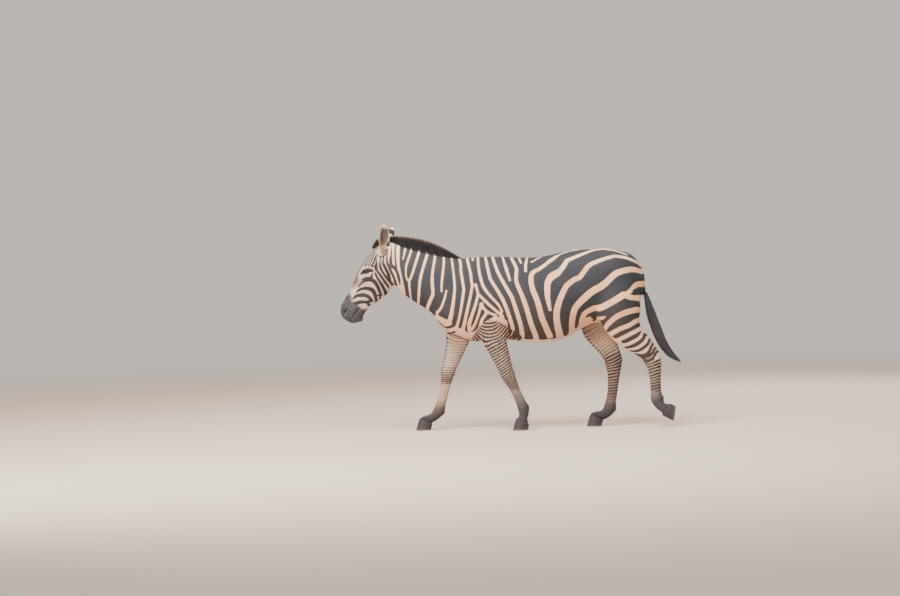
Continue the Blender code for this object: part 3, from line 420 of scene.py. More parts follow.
# Edge of the dark muzzle in the head's axes: above and along
MUZZLE = ((-0.190, 0.480), (-0.150, 0.500), (-0.110, 0.512), (-0.085, 0.510), (-0.060, 0.516),
          (-0.030, 0.505), (0.005, 0.470), (0.050, 0.450))

# Rings of the legs: the way down each chain and the spacing there, the height at which the
# rings end and the height over which the inner side is bare
FORE_SPACING = ((0.10, 0.0255), (0.35, 0.0215), (0.60, 0.0175), (0.90, 0.017))
HIND_SPACING = ((0.00, 0.0260), (0.60, 0.0245), (0.90, 0.0215), (1.20, 0.020))
RING_ENDS = {
    "fore_left": (0.300, 0.640), "fore_right": (0.345, 0.500),
    "hind_left": (0.265, 0.640), "hind_right": (0.180, 0.620),
}
RING_TOPS = {"fore_left": 0.845, "fore_right": 0.845, "hind_left": 0.520, "hind_right": 0.800}
OUTER_RING_TOP = 0.54       # height of the rings' top on the outer side of a hind leg
FOREARM_ARCH = 5.5          # how strongly the rings arch over the top of the forearm
RING_SOFTNESS = 0.004
RING_BIAS = (0.0100, 0.0029)        # what fades the rings off the legs, and their dark share

# Tints, as red, green and blue of 255 at each height
# The pale ground is the coat's cream, painted lighter towards the back as painted top light, and
# warmer peach low down as painted warm light thrown up from the ground
BODY_GROUND = ((0.62, (218, 178, 150)), (0.80, (232, 182, 148)), (1.00, (250, 194, 150)),
               (1.20, (253, 203, 155)), (1.36, (253, 226, 190)))
# The ink is painted bluish slate over the upper body, a painted sheen of sky light on the dark hair,
# and is browner low down
BODY_INK = ((0.62, (66, 54, 50)), (0.80, (55, 51, 52)), (1.00, (48, 50, 56)), (1.20, (50, 53, 60)),
            (1.36, (62, 62, 64)))
# The far legs, fore_right and hind_right, are painted darker than the near ones from about 0.4 m up:
# painted shade under the body. The darkening towards the hooves is the legs' own colour.
LEG_GROUND = {
    "fore_left": ((0.12, (66, 62, 66)), (0.20, (84, 76, 76)), (0.28, (120, 106, 98)),
                  (0.36, (178, 160, 148)), (0.50, (214, 192, 176)), (0.70, (228, 198, 176))),
    "fore_right": ((0.10, (60, 56, 60)), (0.17, (96, 82, 76)), (0.24, (170, 142, 122)),
                   (0.40, (182, 158, 140)), (0.55, (196, 180, 168)), (0.70, (204, 182, 166))),
    "hind_left": ((0.15, (66, 62, 66)), (0.22, (82, 76, 76)), (0.28, (128, 114, 104)),
                  (0.36, (192, 170, 154)), (0.50, (216, 193, 176)), (0.70, (230, 196, 170))),
    "hind_right": ((0.10, (60, 56, 60)), (0.17, (86, 76, 74)), (0.24, (150, 130, 116)),
                   (0.40, (188, 162, 144)), (0.55, (180, 156, 140)), (0.70, (196, 170, 150))),
}
LEG_INK = (64, 50, 46)
HEAD_GROUND = (196, 174, 162)
HEAD_INK = (52, 45, 45)
MUZZLE_TINT = (60, 60, 64)
MUZZLE_PALE = (104, 100, 101)
# Painted shade, near black, in the pits of the nostrils and along the line of the mouth
NOSTRIL_AND_MOUTH_SHADE = (26, 22, 24)
BRIDGE_TINT = (206, 182, 166)
EAR_INSIDE = (106, 92, 80)
EAR_BASE = (150, 118, 94)
EAR_PALE = (238, 230, 214)
EAR_DARK = (58, 50, 48)
# Middle, radii, edges and tint of the bare chestnut, a painted shade on the far hind leg's
# inner thigh, the dusky sides of the nose, and the tan feet of the ears
SPOTS = (
    ((-0.424, 0.120, 0.520), (0.020, 0.030, 0.030), (0.35, 0.55), (52, 48, 50)),
    # Painted shade: the inner thigh of the far hind leg darkened where the body shades it
    ((0.620, 0.090, 0.760), (0.150, 0.080, 0.150), (0.10, 0.80), (158, 138, 122)),
    ((-1.158, -0.055, 1.159), (0.038, 0.060, 0.052), (0.05, 0.95), (142, 126, 116)),
    ((-1.158, 0.055, 1.159), (0.038, 0.060, 0.052), (0.05, 0.95), (142, 126, 116)),
    ((-0.945, -0.075, 1.388), (0.036, 0.060, 0.044), (0.06, 0.60), (128, 100, 80)),
    ((-0.945, 0.075, 1.388), (0.036, 0.060, 0.044), (0.06, 0.60), (128, 100, 80)),
)

# What the coat's material reads off the mesh
MARK_NUMBERS = ("mark", "ring", "ring_bias")
MARK_COLOURS = ("ground", "ink")

SIDES = (("left", -1), ("right", 1))        # the way along Y to each side

FLESH_NODES = (
    "trunk", "neck", "head", "ear_left", "ear_right", "tail_dock",
    "leg_fore_left_upper", "leg_fore_left_lower", "leg_fore_right_upper",
    "leg_fore_right_lower", "leg_hind_left_upper", "leg_hind_left_lower",
    "leg_hind_right_upper", "leg_hind_right_lower",
)

# Studio: name, place, size, power and colour of each lamp
LAMPS = (
    ("sky_lamp", (-1.5, -3.5, 6.0), 5.0, 960.0, (1.0, 0.97, 0.92)),
    ("side_lamp", (-5.0, -5.0, 2.2), 4.0, 300.0, (1.0, 0.94, 0.88)),
    ("back_lamp", (3.5, 4.5, 4.0), 4.0, 260.0, (0.95, 0.97, 1.0)),
)
LAMP_AIM = (0.0, 0.0, 0.9)
AIR_LIGHT = 1.0
CAMERA_PLACE = (-0.454, -20.0, 1.57)
CAMERA_AIM = (-0.454, 0.0, 1.011)
CAMERA_ROLL = math.radians(-1.38)
CAMERA_LENS = 105.2
FLOOR_SIZE = 45.0
FLOOR_FADE = (4.0, 13.0)    # how far from the middle the floor starts and ends to fade

# Coat
PATCH = 0.003               # size of a tuft on the unwrapped skin
LEG_RUN = 1.45              # way down a leg that fills its unwrapped skin
HEAD_RUN = 0.66             # and way down the head
PART_EDGES = (-0.50, 0.42)  # X of the edges between the pieces of neck, barrel and haunch
UNWRAP_SPANS = ((-0.95, -0.50), (-0.50, 0.42), (0.42, 1.10))    # X over those pieces
UNWRAP_MIDDLE = ((-0.95, 1.28), (-0.70, 1.18), (-0.50, 1.08), (0.0, 1.0), (1.0, 1.08))
TUFTS = 248000              # tufts of the short coat
MANE_LOCKS = 7600
FORELOCK_LOCKS = 2200
TAIL_LOCKS = 4200
EAR_HAIRS = 1500            # on each ear
CHIN_HAIRS = 260
LASHES = 70                 # on each upper lid
# Length and half width of the tufts
TUFT_SIZES = {"body": (0.0108, 0.00130), "low_leg": (0.0066, 0.00105),
              "face": (0.0070, 0.0009), "nose": (0.0034, 0.0006), "ear": (0.0065, 0.0009)}
# Hair of the feet: number of hairs and length
FOOT_HAIR = {"fetlock_hair": (1500, 0.019), "coronet_hair": (4200, 0.014)}
# How flat strands are, and how far they are shaded as round: tufts, long locks, single hairs
TUFT_FORM = (0.35, 0.35)
LOCK_FORM = (0.6, 0.7)
HAIR_FORM = (0.6, 0.6)
# Least and greatest half widths of the locks
MANE_WIDTHS = (0.0013, 0.0024)
TAIL_WIDTHS = (0.0012, 0.0022)
# Long hair: tints at root and tip, and the share of its length at which they begin to change
HAIR_TINTS = {
    "mane_hair": ((34, 31, 35), (100, 72, 62), 0.80),
    "tail_hair": ((66, 63, 68), (82, 72, 70), 0.60),
    "dark_fine_hair": ((42, 37, 38), (70, 60, 58), 0.50),
    "pale_fine_hair": ((206, 190, 170), (238, 230, 216), 0.40),
    "foot_hair": ((66, 60, 62), (88, 79, 76), 0.50),
}
# Seeds of the random draws of each kind of hair, and of the sowing of its roots
SEEDS = {
    "coat": 7, "mane_hair": 11, "forelock_hair": 12, "tail_hair": 23, "ear_hair_left": 41,
    "ear_hair_right": 42, "fetlock_hair": 52, "coronet_hair": 52, "chin_hair": 62,
    "lashes_left": 71, "lashes_right": 71,
}
SOWING_SEEDS = {
    "ear_hair_left": 31, "ear_hair_right": 32, "fetlock_hair": 51, "coronet_hair": 51,
    "chin_hair": 61,
}
COAT_PIECES = (
    "coat_head_left", "coat_head_right", "coat_neck_left", "coat_neck_right",
    "coat_barrel_left", "coat_barrel_right", "coat_haunch_left", "coat_haunch_right",
    "coat_fore_leg_left", "coat_fore_leg_right", "coat_hind_leg_left", "coat_hind_leg_right",
)


def tint(values):
    """Linear colour and full alpha from red, green and blue of 255."""
    values = np.array(values, float) / 255
    linear = np.where(values <= 0.04045, values / 12.92, ((values + 0.055) / 1.055) ** 2.4)
    return (*linear, 1.0)


def smoothstep(values, low, high):
    """0 below the low value and 1 above the high one, with a smooth way between."""
    t = np.clip((values - low) / (high - low), 0, 1)
    return t * t * (3 - 2 * t)


def lerp(a, b, weight):
    """Rows a where the weight is 0 and rows b where it is 1."""
    weight = np.asarray(weight)[:, None]
    return a * (1 - weight) + np.asarray(b) * weight


def tinted(rows, colour, share):
    """The rows of linear colour, turned to the tint where the share is 1."""
    return lerp(rows, tint(colour)[:3], share)


def rows_at(places, stations, rows):
    """The rows' numbers, read at places between their stations."""
    return np.column_stack([np.interp(places, stations, column) for column in np.transpose(rows)])


def run_along(line):
    """The way along the line from its start to each of its points."""
    return np.concatenate(([0], np.cumsum(np.linalg.norm(np.diff(line, axis=0), axis=1))))


def off_line(points, start, end):
    """The share of the way from start to end at which each point lies, and its offset there."""
    way = end - start
    share = np.clip((points - start) @ way / max(way @ way, 1e-12), 0, 1)
    return share, points - start - share[:, None] * way


def soft_spot(points, middle, radii, sharpness):
    """1 at the middle of a soft spot, and less outwards, towards 0 beyond its radii."""
    reach = (((points - np.array(middle)) / np.array(radii)) ** 2).sum(axis=1)
    return np.exp(-sharpness * reach)


def unit(rows):
    """The rows at length 1."""
    return rows / np.maximum(np.linalg.norm(rows, axis=-1, keepdims=True), 1e-9)


def new_object(name, data):
    """An object for the mesh, lamp or camera, in the scene."""
    thing = bpy.data.objects.new(name, data)
    bpy.context.scene.collection.objects.link(thing)
    return thing


def mesh_from(bm, name, turn_out=True):
    """A mesh from the bmesh, with its faces turned outwards."""
    if turn_out:
        bmesh.ops.recalc_face_normals(bm, faces=bm.faces)
    mesh = bpy.data.meshes.new(name)
    bm.to_mesh(mesh)
    bm.free()
    return mesh


def evaluated(thing, name):
    """A mesh of the object as its modifiers leave it. The object is removed."""
    bpy.context.view_layer.update()
    depsgraph = bpy.context.evaluated_depsgraph_get()
    mesh = bpy.data.meshes.new_from_object(thing.evaluated_get(depsgraph))
    mesh.name = name
    bpy.data.objects.remove(thing)
    return mesh


def eased(rows, steps):
    """The rows of numbers, with steps - 1 smooth rows put in after each."""
    rows = np.array(rows, float)
    last = len(rows) - 1
    out = []
    for i in range(last):
        before, here, there, after = rows[max(i - 1, 0)], rows[i], rows[i + 1], rows[min(i + 2, last)]
        for k in range(steps):
            t = k / steps
            straight = (there - before) * t
            bend = (2 * before - 5 * here + 4 * there - after) * t ** 2
            twist = (3 * here - before - 3 * there + after) * t ** 3
            out.append(here + 0.5 * (straight + bend + twist))
    out.append(rows[last])
    return np.array(out)


def along(rows, place):
    """The row at a place between two rows of the list."""
    i = min(int(place), len(rows) - 2)
    return rows[i] * (1 - (place - i)) + rows[i + 1] * (place - i)


def power_cos(turn, power):
    """Cosine that bulges towards a square as the power rises over 2."""
    return math.copysign(abs(math.cos(turn)) ** (2 / power), math.cos(turn))


def section(top, bottom, half_width, widest, top_power, low_power):
    """A function from the turn about a section, 0 at its top, to the point there."""
    top, bottom = Vector(top), Vector(bottom)
    middle = bottom.lerp(top, widest)

    def point(turn):
        upper = math.cos(turn) > 0
        power = top_power if upper else low_power
        reach = top - middle if upper else middle - bottom
        out = power_cos(turn - math.pi / 2, power)
        return middle + reach * power_cos(turn, power) + Vector((0, -half_width * out, 0))

    return point


def edges_of(verts):
    """The edges at the points, each of them once."""
    return list(dict.fromkeys(edge for vert in verts for edge in vert.link_edges))


def loft(bm, sections, sides):
    """A closed skin: a circle that is extruded from each section to the next."""
    turn = bm.verts.layers.float["turn"]
    verts = bmesh.ops.create_circle(bm, segments=sides, radius=1.0, cap_ends=False)["verts"]
    for vert in verts:
        vert[turn] = math.atan2(vert.co.y, vert.co.x)
        vert.co = sections[0](vert[turn])
    edges = edges_of(verts)
    bmesh.ops.contextual_create(bm, geom=edges)
    for place in sections[1:]:
        grown = bmesh.ops.extrude_edge_only(bm, edges=edges)["geom"]
        verts = [item for item in grown if isinstance(item, bmesh.types.BMVert)]
        edges = [item for item in grown if isinstance(item, bmesh.types.BMEdge)]
        for vert in verts:
            vert.co = place(vert[turn])
    bmesh.ops.contextual_create(bm, geom=edges)


def lofting_bmesh():
    """An empty bmesh whose points remember their turn about the loft."""
    bm = bmesh.new()
    bm.verts.layers.float.new("turn")
    return bm


def head_axes():
    """The directions along the head, above it and beside it."""
    forward = Vector((-math.cos(HEAD_PITCH), 0, -math.sin(HEAD_PITCH)))
    upward = Vector((-math.sin(HEAD_PITCH), 0, math.cos(HEAD_PITCH)))
    return forward, upward, Vector((0, 1, 0))


def head_point(s, h, y=0.0):
    """The place that is s along the head, h above its line and y beside it."""
    forward, upward, beside = head_axes()
    return POLL + forward * s + upward * h + beside * y


def trunk_sections():
    """Sections of the trunk and the neck."""
    rows = eased(list(TRUNK.values()), STEPS)
    return [section((r[0], 0, r[1]), (r[2], 0, r[3]), *r[4:]) for r in rows]


def head_sections():
    """Sections of the head."""
    rows = eased(list(HEAD.values()), STEPS)
    return [section(head_point(r[0], r[1]), head_point(r[0], r[2]), *r[3:]) for r in rows]


def limb_frame(joints, place):
    """The centre, the forward way and the sideways way of a limb at a place on its chain."""
    fine = eased(joints, 20)
    last = len(joints) - 1
    centre = along(fine, 20 * place)
    ahead = along(fine, 20 * min(place + 0.06, last))
    behind = along(fine, 20 * max(place - 0.06, 0))
    down = Vector(ahead - behind).normalized()
    forward = down.cross(Vector((0, -1, 0))).normalized()
    if forward.x > 0:
        forward.negate()
    return Vector(centre), forward, forward.cross(down)


def limb_sections(joints, girths):
    """Sections of a limb, each square to the chain of joints."""
    places = []
    last = len(joints) - 1
    for place, front, back, side in eased(girths, STEPS):
        centre, forward, sideways = limb_frame(joints, min(max(place, 0), last))
        places.append(limb_section(centre, forward * front, forward * back, sideways * side))
    centre, forward, sideways = limb_frame(joints, last)
    down = sideways.cross(forward) * 0.03
    places.append(limb_section(centre + down, forward * front, forward * back, sideways * side))
    return places


def limb_section(centre, front, back, side):
    """A function from the turn about a limb, 0 at its front, to the point there."""

    def point(turn):
        reach = front if math.cos(turn) > 0 else back
        return centre + reach * math.cos(turn) + side * math.sin(turn)

    return point


def swell(points, normals, middle, radii, height, axes):
    """Raise a soft mound on the points, or press a hollow where the height is below 0."""
    local = (points - np.array(middle)) @ np.array(axes)
    points += normals * (height * soft_spot(local, 0.0, radii, 2.0))[:, None]


def points_and_normals(mesh):
    """The mesh's points and their normals as arrays."""
    points = np.empty(len(mesh.vertices) * 3)
    normals = np.empty(len(mesh.vertices) * 3)
    mesh.vertices.foreach_get("co", points)
    mesh.vertex_normals.foreach_get("vector", normals)
    return points.reshape(-1, 3), normals.reshape(-1, 3)


def move_points(mesh, points):
    """Give the mesh's points new places."""
    mesh.vertices.foreach_set("co", points.ravel())
    mesh.update()


def smooth(bm, verts, rounds):
    """Smooth the points so many times."""
    for _ in range(rounds):
        bmesh.ops.smooth_vert(bm, verts=verts, factor=0.5, use_axis_x=True, use_axis_y=True,
                              use_axis_z=True)


def tail_sections(rows):
    """Sections of the tail, each square to its centre line."""
    places = []
    for i, (x, z, deep, wide) in enumerate(rows):
        ahead, behind = rows[min(i + 1, len(rows) - 1)], rows[max(i - 1, 0)]
        way = Vector((ahead[0] - behind[0], 0, ahead[1] - behind[1])).normalized()
        out = Vector((-way.z, 0, way.x))
        places.append(limb_section(Vector((x, 0, z)), out * deep, out * deep,
                                   Vector((0, wide, 0))))
    return places


def fused_flesh():
    """Trunk, head, limbs and dock of the tail as one smooth closed form."""
    bm = lofting_bmesh()
    loft(bm, trunk_sections(), BODY_SIDES)
    loft(bm, head_sections(), BODY_SIDES)
    for name, joints in LEGS.items():
        girths = FORE_GIRTHS if name.startswith("fore") else HIND_GIRTHS
        loft(bm, limb_sections(joints, girths), LIMB_SIDES)
    dock = [row for row in eased(TAIL, 4) if row[1] > DOCK_END]
    loft(bm, tail_sections(dock), LIMB_SIDES)
    rough = new_object("rough_flesh", mesh_from(bm, "rough_flesh"))
    remesh = rough.modifiers.new("fuse", "REMESH")
    remesh.mode = "VOXEL"
    remesh.voxel_size = VOXEL
    mesh = evaluated(rough, "flesh")
    bm = bmesh.new()
    bm.from_mesh(mesh)
    joins = [vert for vert in bm.verts if near_a_join(vert.co)]
    body = [vert for vert in bm.verts if vert.co.x < 1.000 or vert.co.z > 1.16]
    smooth(bm, body, SMOOTH_ROUNDS)
    smooth(bm, joins, JOIN_ROUNDS)
    bm.to_mesh(mesh)
    bm.free()
    return mesh


def near_a_join(point):
    """Whether the point lies where a limb or the head grows out of the trunk."""
    return any((point - Vector(middle)).length < radius for middle, radius in JOINS)


def model_muscles(mesh):
    """Raise the muscles and bones of body, head and legs."""
    points, normals = points_and_normals(mesh)
    skull = Matrix(head_axes()).transposed()
    for _, side in SIDES:
        for (x, y, z), radii, tilt, height in BODY_MOUNDS.values():
            turn = Matrix.Rotation(math.radians(tilt), 3, "Y")
            swell(points, normals, (x, y * side, z), radii, height, turn)
        for (s, h, y), radii, height in HEAD_MOUNDS.values():
            swell(points, normals, head_point(s, h, y * side), radii, height, skull)
    for middle, radii, height in CREASES.values():
        swell(points, normals, middle, radii, height, Matrix.Identity(3))
    for name, joints in LEGS.items():
        outward = math.copysign(1, joints[0][1])
        for place, *sizes in FORE_DETAIL if name.startswith("fore") else HIND_DETAIL:
            ahead, aside, *radii, height = (size / 1000 for size in sizes)
            centre, forward, sideways = limb_frame(joints, place)
            sideways = sideways * math.copysign(1, sideways.y) * outward
            down = forward.cross(sideways).normalized()
            turn = Matrix((down, forward, sideways)).transposed()
            middle = centre + forward * ahead + sideways * aside
            swell(points, normals, middle, radii, height, turn)
    move_points(mesh, points)


def refine(mesh, regions):
    """Split the faces of each region, given as a test of a point, and smooth them."""
    bm = bmesh.new()
    bm.from_mesh(mesh)
    for inside in regions:
        edges = [edge for edge in bm.edges if all(inside(vert.co) for vert in edge.verts)]
        bmesh.ops.subdivide_edges(bm, edges=edges, cuts=1, use_grid_fill=True, smooth=0.0)
        smooth(bm, [vert for vert in bm.verts if inside(vert.co)], FINE_ROUNDS)
    bm.to_mesh(mesh)
    bm.free()


def in_head(point):
    """Whether the point belongs to the head."""
    forward = head_axes()[0]
    return (point - POLL).dot(forward) > -0.01 and point.x < -0.90


def near_features(point):
    """Whether the point lies by an eye, a nostril or the mouth."""
    forward, upward, _ = head_axes()
    rel = point - POLL
    s, h = rel.dot(forward), rel.dot(upward)
    eye = min((point - eye_place(side)).length for _, side in SIDES) < 0.052
    nostril = 0.548 < s < 0.630 and -0.055 < h < 0.020 and abs(point.y) > 0.022
    mouth = s > 0.485 and abs(h + 0.10) < 0.024
    return eye or nostril or mouth


def eye_place(side):
    """The middle of the eye on the side, -1 for the left."""
    s, h, y = EYE_PLACE
    return head_point(s, h, y * side)


def eye_axes(side):
    """The directions along the eye's opening, above it and outwards."""
    forward, upward, _ = head_axes()
    out = (forward * 0.25 + upward * 0.15 + Vector((0, side, 0))).normalized()
    turn = forward * math.cos(EYE_TURN) + upward * math.sin(EYE_TURN)
    along_eye = (turn - out * turn.dot(out)).normalized()
    above = along_eye.cross(out) * -side
    return along_eye, above.normalized(), out


def shape_face(mesh):
    """Cut the fine forms of the face: eyelids, folds, nostrils and mouth."""
    points, normals = points_and_normals(mesh)
    skull = Matrix(head_axes()).transposed()
    for _, side in SIDES:
        for (s, h, y), radii, height in FACE.values():
            if y or side < 0:
                swell(points, normals, head_point(s, h, y * side), radii, height, skull)
        shape_lids(points, side)
    local = (points - np.array(POLL)) @ np.array(skull)
    far = stroke_distance(local[:, :2], eased(MOUTH, 4))
    depth = MOUTH_GROOVE * np.exp(-2.0 * (far / MOUTH_WIDTH) ** 2)
    depth *= (local[:, 0] > 0.46)
    points -= normals * depth[:, None]
    move_points(mesh, points)


def shape_lids(points, side):
    """Lay the skin about the eye on a ball a little larger than the eye's."""
    axes = np.array(eye_axes(side))
    local = (points - np.array(eye_place(side))) @ axes.T
    reach = np.hypot(local[:, 0], local[:, 1])
    ball = EYE_RADIUS + LID
    target = np.sqrt(np.maximum(ball ** 2 - np.minimum(reach, 0.021) ** 2, 0.0))
    weight = (1 - smoothstep(reach, 0.0175, 0.036)) * (local[:, 2] > 0)
    local[:, 2] += (target - local[:, 2]) * weight
    points[:] = local @ axes + np.array(eye_place(side))


def stroke_distance(points, line):
    """How far each point is from the line through the rows, in as many axes as they have."""
    line = np.asarray(line, float)
    best = np.full(len(points), 1e9)
    for start, end in zip(line[:-1], line[1:]):
        best = np.minimum(best, np.linalg.norm(off_line(points, start, end)[1], axis=1))
    return best


def almond(turn):
    """The place along and above the eye's middle of its opening, at a turn."""
    rise = math.sin(turn)
    height = EYE_UPPER if rise > 0 else EYE_LOWER
    return EYE_HALF * math.cos(turn), height * math.copysign(abs(rise) ** 1.15, rise)


def eye_cutter(side):
    """A block in the outline of the eye's opening, from the eye's middle outwards."""
    along_eye, above, out = eye_axes(side)
    place = eye_place(side)
    bm = bmesh.new()
    made = bmesh.ops.create_circle(bm, segments=40, radius=1.0, cap_ends=True)["verts"]
    for vert in made:
        u, v = almond(math.atan2(vert.co.y, vert.co.x))
        vert.co = place + along_eye * u + above * v + out * 0.004
    grown = bmesh.ops.extrude_face_region(bm, geom=list(bm.faces))["geom"]
    tops = [item for item in grown if isinstance(item, bmesh.types.BMVert)]
    bmesh.ops.translate(bm, verts=tops, vec=out * 0.05)
    return new_object("cut_eye", mesh_from(bm, "cut_eye"))


def ear_axes(word):
    """The root of the ear, the directions to its tip and out of its cup, and across."""
    side = dict(SIDES)[word]
    s, h, y = EAR_ROOT
    up = Vector(EAR_TIPS[word]).normalized()
    opening = Vector(EAR_OPENINGS[word])
    opening = (opening - up * opening.dot(up)).normalized()
    return head_point(s, h, y * side), up, opening, up.cross(opening)


def ear_cup(word):
    """One ear as a closed cup with a wall that thins to its rim."""
    root, up, opening, across = ear_axes(word)
    rows = eased(EAR_ROWS, STEPS)
    bm = bmesh.new()
    bmesh.ops.create_grid(bm, x_segments=EAR_GRID[0], y_segments=EAR_GRID[1], size=1.0)
    for vert in bm.verts:
        level = (vert.co.y + 1) / 2
        radius = np.interp(level, rows[:, 0], rows[:, 1]) - COAT_DEPTH
        turn = vert.co.x * math.radians(np.interp(level, rows[:, 0], rows[:, 2]))
        lean = 0.010 * math.sin(math.pi * level) - 0.012 * level ** 4
        out = across * math.sin(turn) - opening * math.cos(turn)
        vert.co = root + up * (EAR_LENGTH * level) + out * radius - opening * lean
    mesh = mesh_from(bm, "ear")
    ear = new_object("ear_cup_" + word, mesh)
    wall = ear.modifiers.new("wall", "SOLIDIFY")
    wall.thickness = EAR_WALL
    wall.offset = 0.0
    return new_object("ear_tool_" + word, evaluated(ear, "ear_tool"))


def joined_skin(mesh):
    """The skin with the ears grown on and the openings of the eyes cut."""
    skin = new_object("skin_form", mesh)
    tools = [(ear_cup(word), "UNION") for word, _ in SIDES]
    tools += [(eye_cutter(side), "DIFFERENCE") for _, side in SIDES]
    for tool, operation in tools:
        boolean = skin.modifiers.new(tool.name, "BOOLEAN")
        boolean.operation = operation
        boolean.solver = "EXACT"
        boolean.object = tool
    made = evaluated(skin, "zebra_skin")
    for tool, _ in tools:
        bpy.data.objects.remove(tool)
    bm = bmesh.new()
    bm.from_mesh(made)
    roots = [ear_axes(word)[0] for word, _ in SIDES]
    close = [vert for vert in bm.verts if ear_root_reach(vert.co, roots)]
    smooth(bm, close, EAR_ROUNDS)
    bmesh.ops.triangulate(bm, faces=[face for face in bm.faces if len(face.verts) > 4])
    bm.to_mesh(made)
    bm.free()
    return made


def ear_root_reach(point, roots):
    """Whether the point is close round the foot of an ear, where it leaves the head."""
    return any(0.016 < (point - root).length < 0.050 for root in roots)


def make_skin():
    """The whole skin of the animal, a coat's depth inside the solids."""
    mesh = fused_flesh()
    model_muscles(mesh)
    refine(mesh, (in_head, near_features))
    shape_face(mesh)
    points, normals = points_and_normals(mesh)
    move_points(mesh, points - normals * COAT_DEPTH)
    return joined_skin(mesh)


def inside_outline(points, outline):
    """Signed distance in the X and Z plane, above 0 inside the outline."""
    closed = np.vstack((outline, outline[:1]))
    far = stroke_distance(points, closed)
    odd = np.zeros(len(points), bool)
    for (ax, az), (bx, bz) in zip(closed[:-1], closed[1:]):
        crosses = (az > points[:, 1]) != (bz > points[:, 1])
        with np.errstate(divide="ignore", invalid="ignore"):
            at = ax + (points[:, 1] - az) * (bx - ax) / (bz - az)
        odd ^= crosses & (points[:, 0] < at)
    return np.where(odd, far, -far)


def stroke_on_skin(tree, path):
    """Points of a stroke on the left skin, carried on over the back, round rump and chest."""
    fine = eased(path, 8)
    length = run_along(fine)
    count = max(int(length[-1] / STROKE_STEP), 2)
    ways = np.linspace(0, length[-1], count)
    flat = rows_at(ways, length, fine)
    found, shares = [], []
    for (x, z), way in zip(flat, ways):
        hit = tree.ray_cast(Vector((x, -2.0, z)), Vector((0, 1, 0)))[0]
        if hit is None and found:
            hit = Vector((x, found[-1][1] * 0.8, z))
        if hit is not None:
            found.append(hit)
            shares.append(way / length[-1])
    if found and -0.45 < found[0].x < 0.14 and found[0].z > 1.285:
        for y in np.arange(found[0].y + STROKE_STEP, -0.008, STROKE_STEP):
            found.insert(0, tree.ray_cast(Vector((found[0].x, y, 3.0)), Vector((0, 0, -1)))[0])
            shares.insert(0, 0.0)
    end = found[-1] if found else None
    rump = end is not None and end.x > 0.94 and end.z > 0.54
    chest = end is not None and end.x < -0.60 and end.z < 1.05
    if rump or chest:
        side = 1 if rump else -1
        for y in np.arange(end.y + STROKE_STEP, -0.012, STROKE_STEP):
            z = end.z - chest * 0.30 * (y - end.y)
            hit = tree.ray_cast(Vector((2.0 * side, y, z)), Vector((-side, 0, 0)))[0]
            if hit is not None and abs(hit.x - end.x) < 0.25:
                found.append(hit)
                shares.append(1.0)
    return np.array(found), np.array(shares)


def stroke_field(points, tree, strokes, taper=0.0):
    """For each point, how far it lies inside the nearest edge of the strokes.

    Over the taper's length at both ends the strokes narrow to a third.
    """
    best = np.full(len(points), -0.05)
    for widths, *path in strokes:
        line, shares = stroke_on_skin(tree, np.reshape(path, (-1, 2)) / 1000)
        if len(line) < 2:
            continue
        low, high = line.min(axis=0) - 0.06, line.max(axis=0) + 0.06
        near = np.all((points > low) & (points < high), axis=1)
        some = points[near]
        inside = np.full(len(some), -0.05)
        half = np.interp(shares, (0, 0.5, 1), np.array(widths) / 1000)
        if taper:
            run = run_along(line)
            end = np.minimum(run, run[-1] - run)
            half = half * (0.33 + 0.67 * smoothstep(end, -0.004, taper))
        for i in range(len(line) - 1):
            share, off = off_line(some, line[i], line[i + 1])
            edge = half[i] + (half[i + 1] - half[i]) * share
            inside = np.maximum(inside, edge - np.linalg.norm(off, axis=1))
        best[near] = np.maximum(best[near], inside)
    return best


def wander(points, scale, seed):
    """A smooth random number between about -1 and 1 at each point."""
    shift = Vector((seed * 7.3, seed * 3.1, seed * 5.7))
    return np.array([noise.noise(Vector(p) * scale + shift) for p in points]) * 1.6


def limb_chart(points):
    """For each point the nearest limb, the way down its chain, and how far it lies ahead.

    Then how far it is from the limb's middle line, and its turn about the line.
    """
    chart = np.zeros((5, len(points)))
    chart[3] = 1e9
    for k, joints in enumerate(LEGS.values()):
        line = eased(joints, 10)
        run = run_along(line)
        for i in range(len(line) - 1):
            way = line[i + 1] - line[i]
            size = np.linalg.norm(way)
            share, off = off_line(points, line[i], line[i + 1])
            front = np.array((-abs(way[2]), 0, way[0] if way[2] < 0 else -way[0])) / size
            far = np.linalg.norm(off, axis=1)
            turn = np.arctan2(off[:, 1], -off[:, 0])
            limb = np.full(len(points), k)
            closer = far < chart[3]
            here = np.array((limb, run[i] + share * size, off @ front, far, turn))
            chart[:, closer] = here[:, closer]
    return (chart[0].astype(int), *chart[1:])


def table_at(rows, places):
    """Linear colours at the places between the rows of place and tint."""
    places_of = [row[0] for row in rows]
    colours = np.array([tint(row[1])[:3] for row in rows])
    return rows_at(places, places_of, colours)


def rounded_highest(first, second, reach):
    """The higher of the two, raised where they are within reach of each other."""
    close = np.maximum(reach - np.abs(first - second), 0) / reach
    return np.maximum(first, second) + close ** 2 * reach / 4


def left_places(points, tree):
    """The places on the left skin at which the markings of the points are read."""
    right = smoothstep(points[:, 1], 0.0, 0.09)
    x, z = points[:, 0], points[:, 2]
    fore = np.interp(z, *np.transpose(FORE_MOVE))
    hind = np.interp(z, *np.transpose(HIND_MOVE))
    move = fore + (hind - fore) * smoothstep(x, -0.20, 0.50)
    sway = right * WARP * (1 - 0.7 * smoothstep(-x, 0.86, 0.92))
    left = points.copy()
    left[:, 0] += move * right
    left[:, 0] += wander(points, 5.0, 1) * sway
    left[:, 2] += wander(points, 5.0, 2) * sway
    left[:, 1] = -np.abs(left[:, 1])
    for i in np.flatnonzero(right > 0):
        left[i] = tree.find_nearest(Vector(left[i]))[0]
    return left


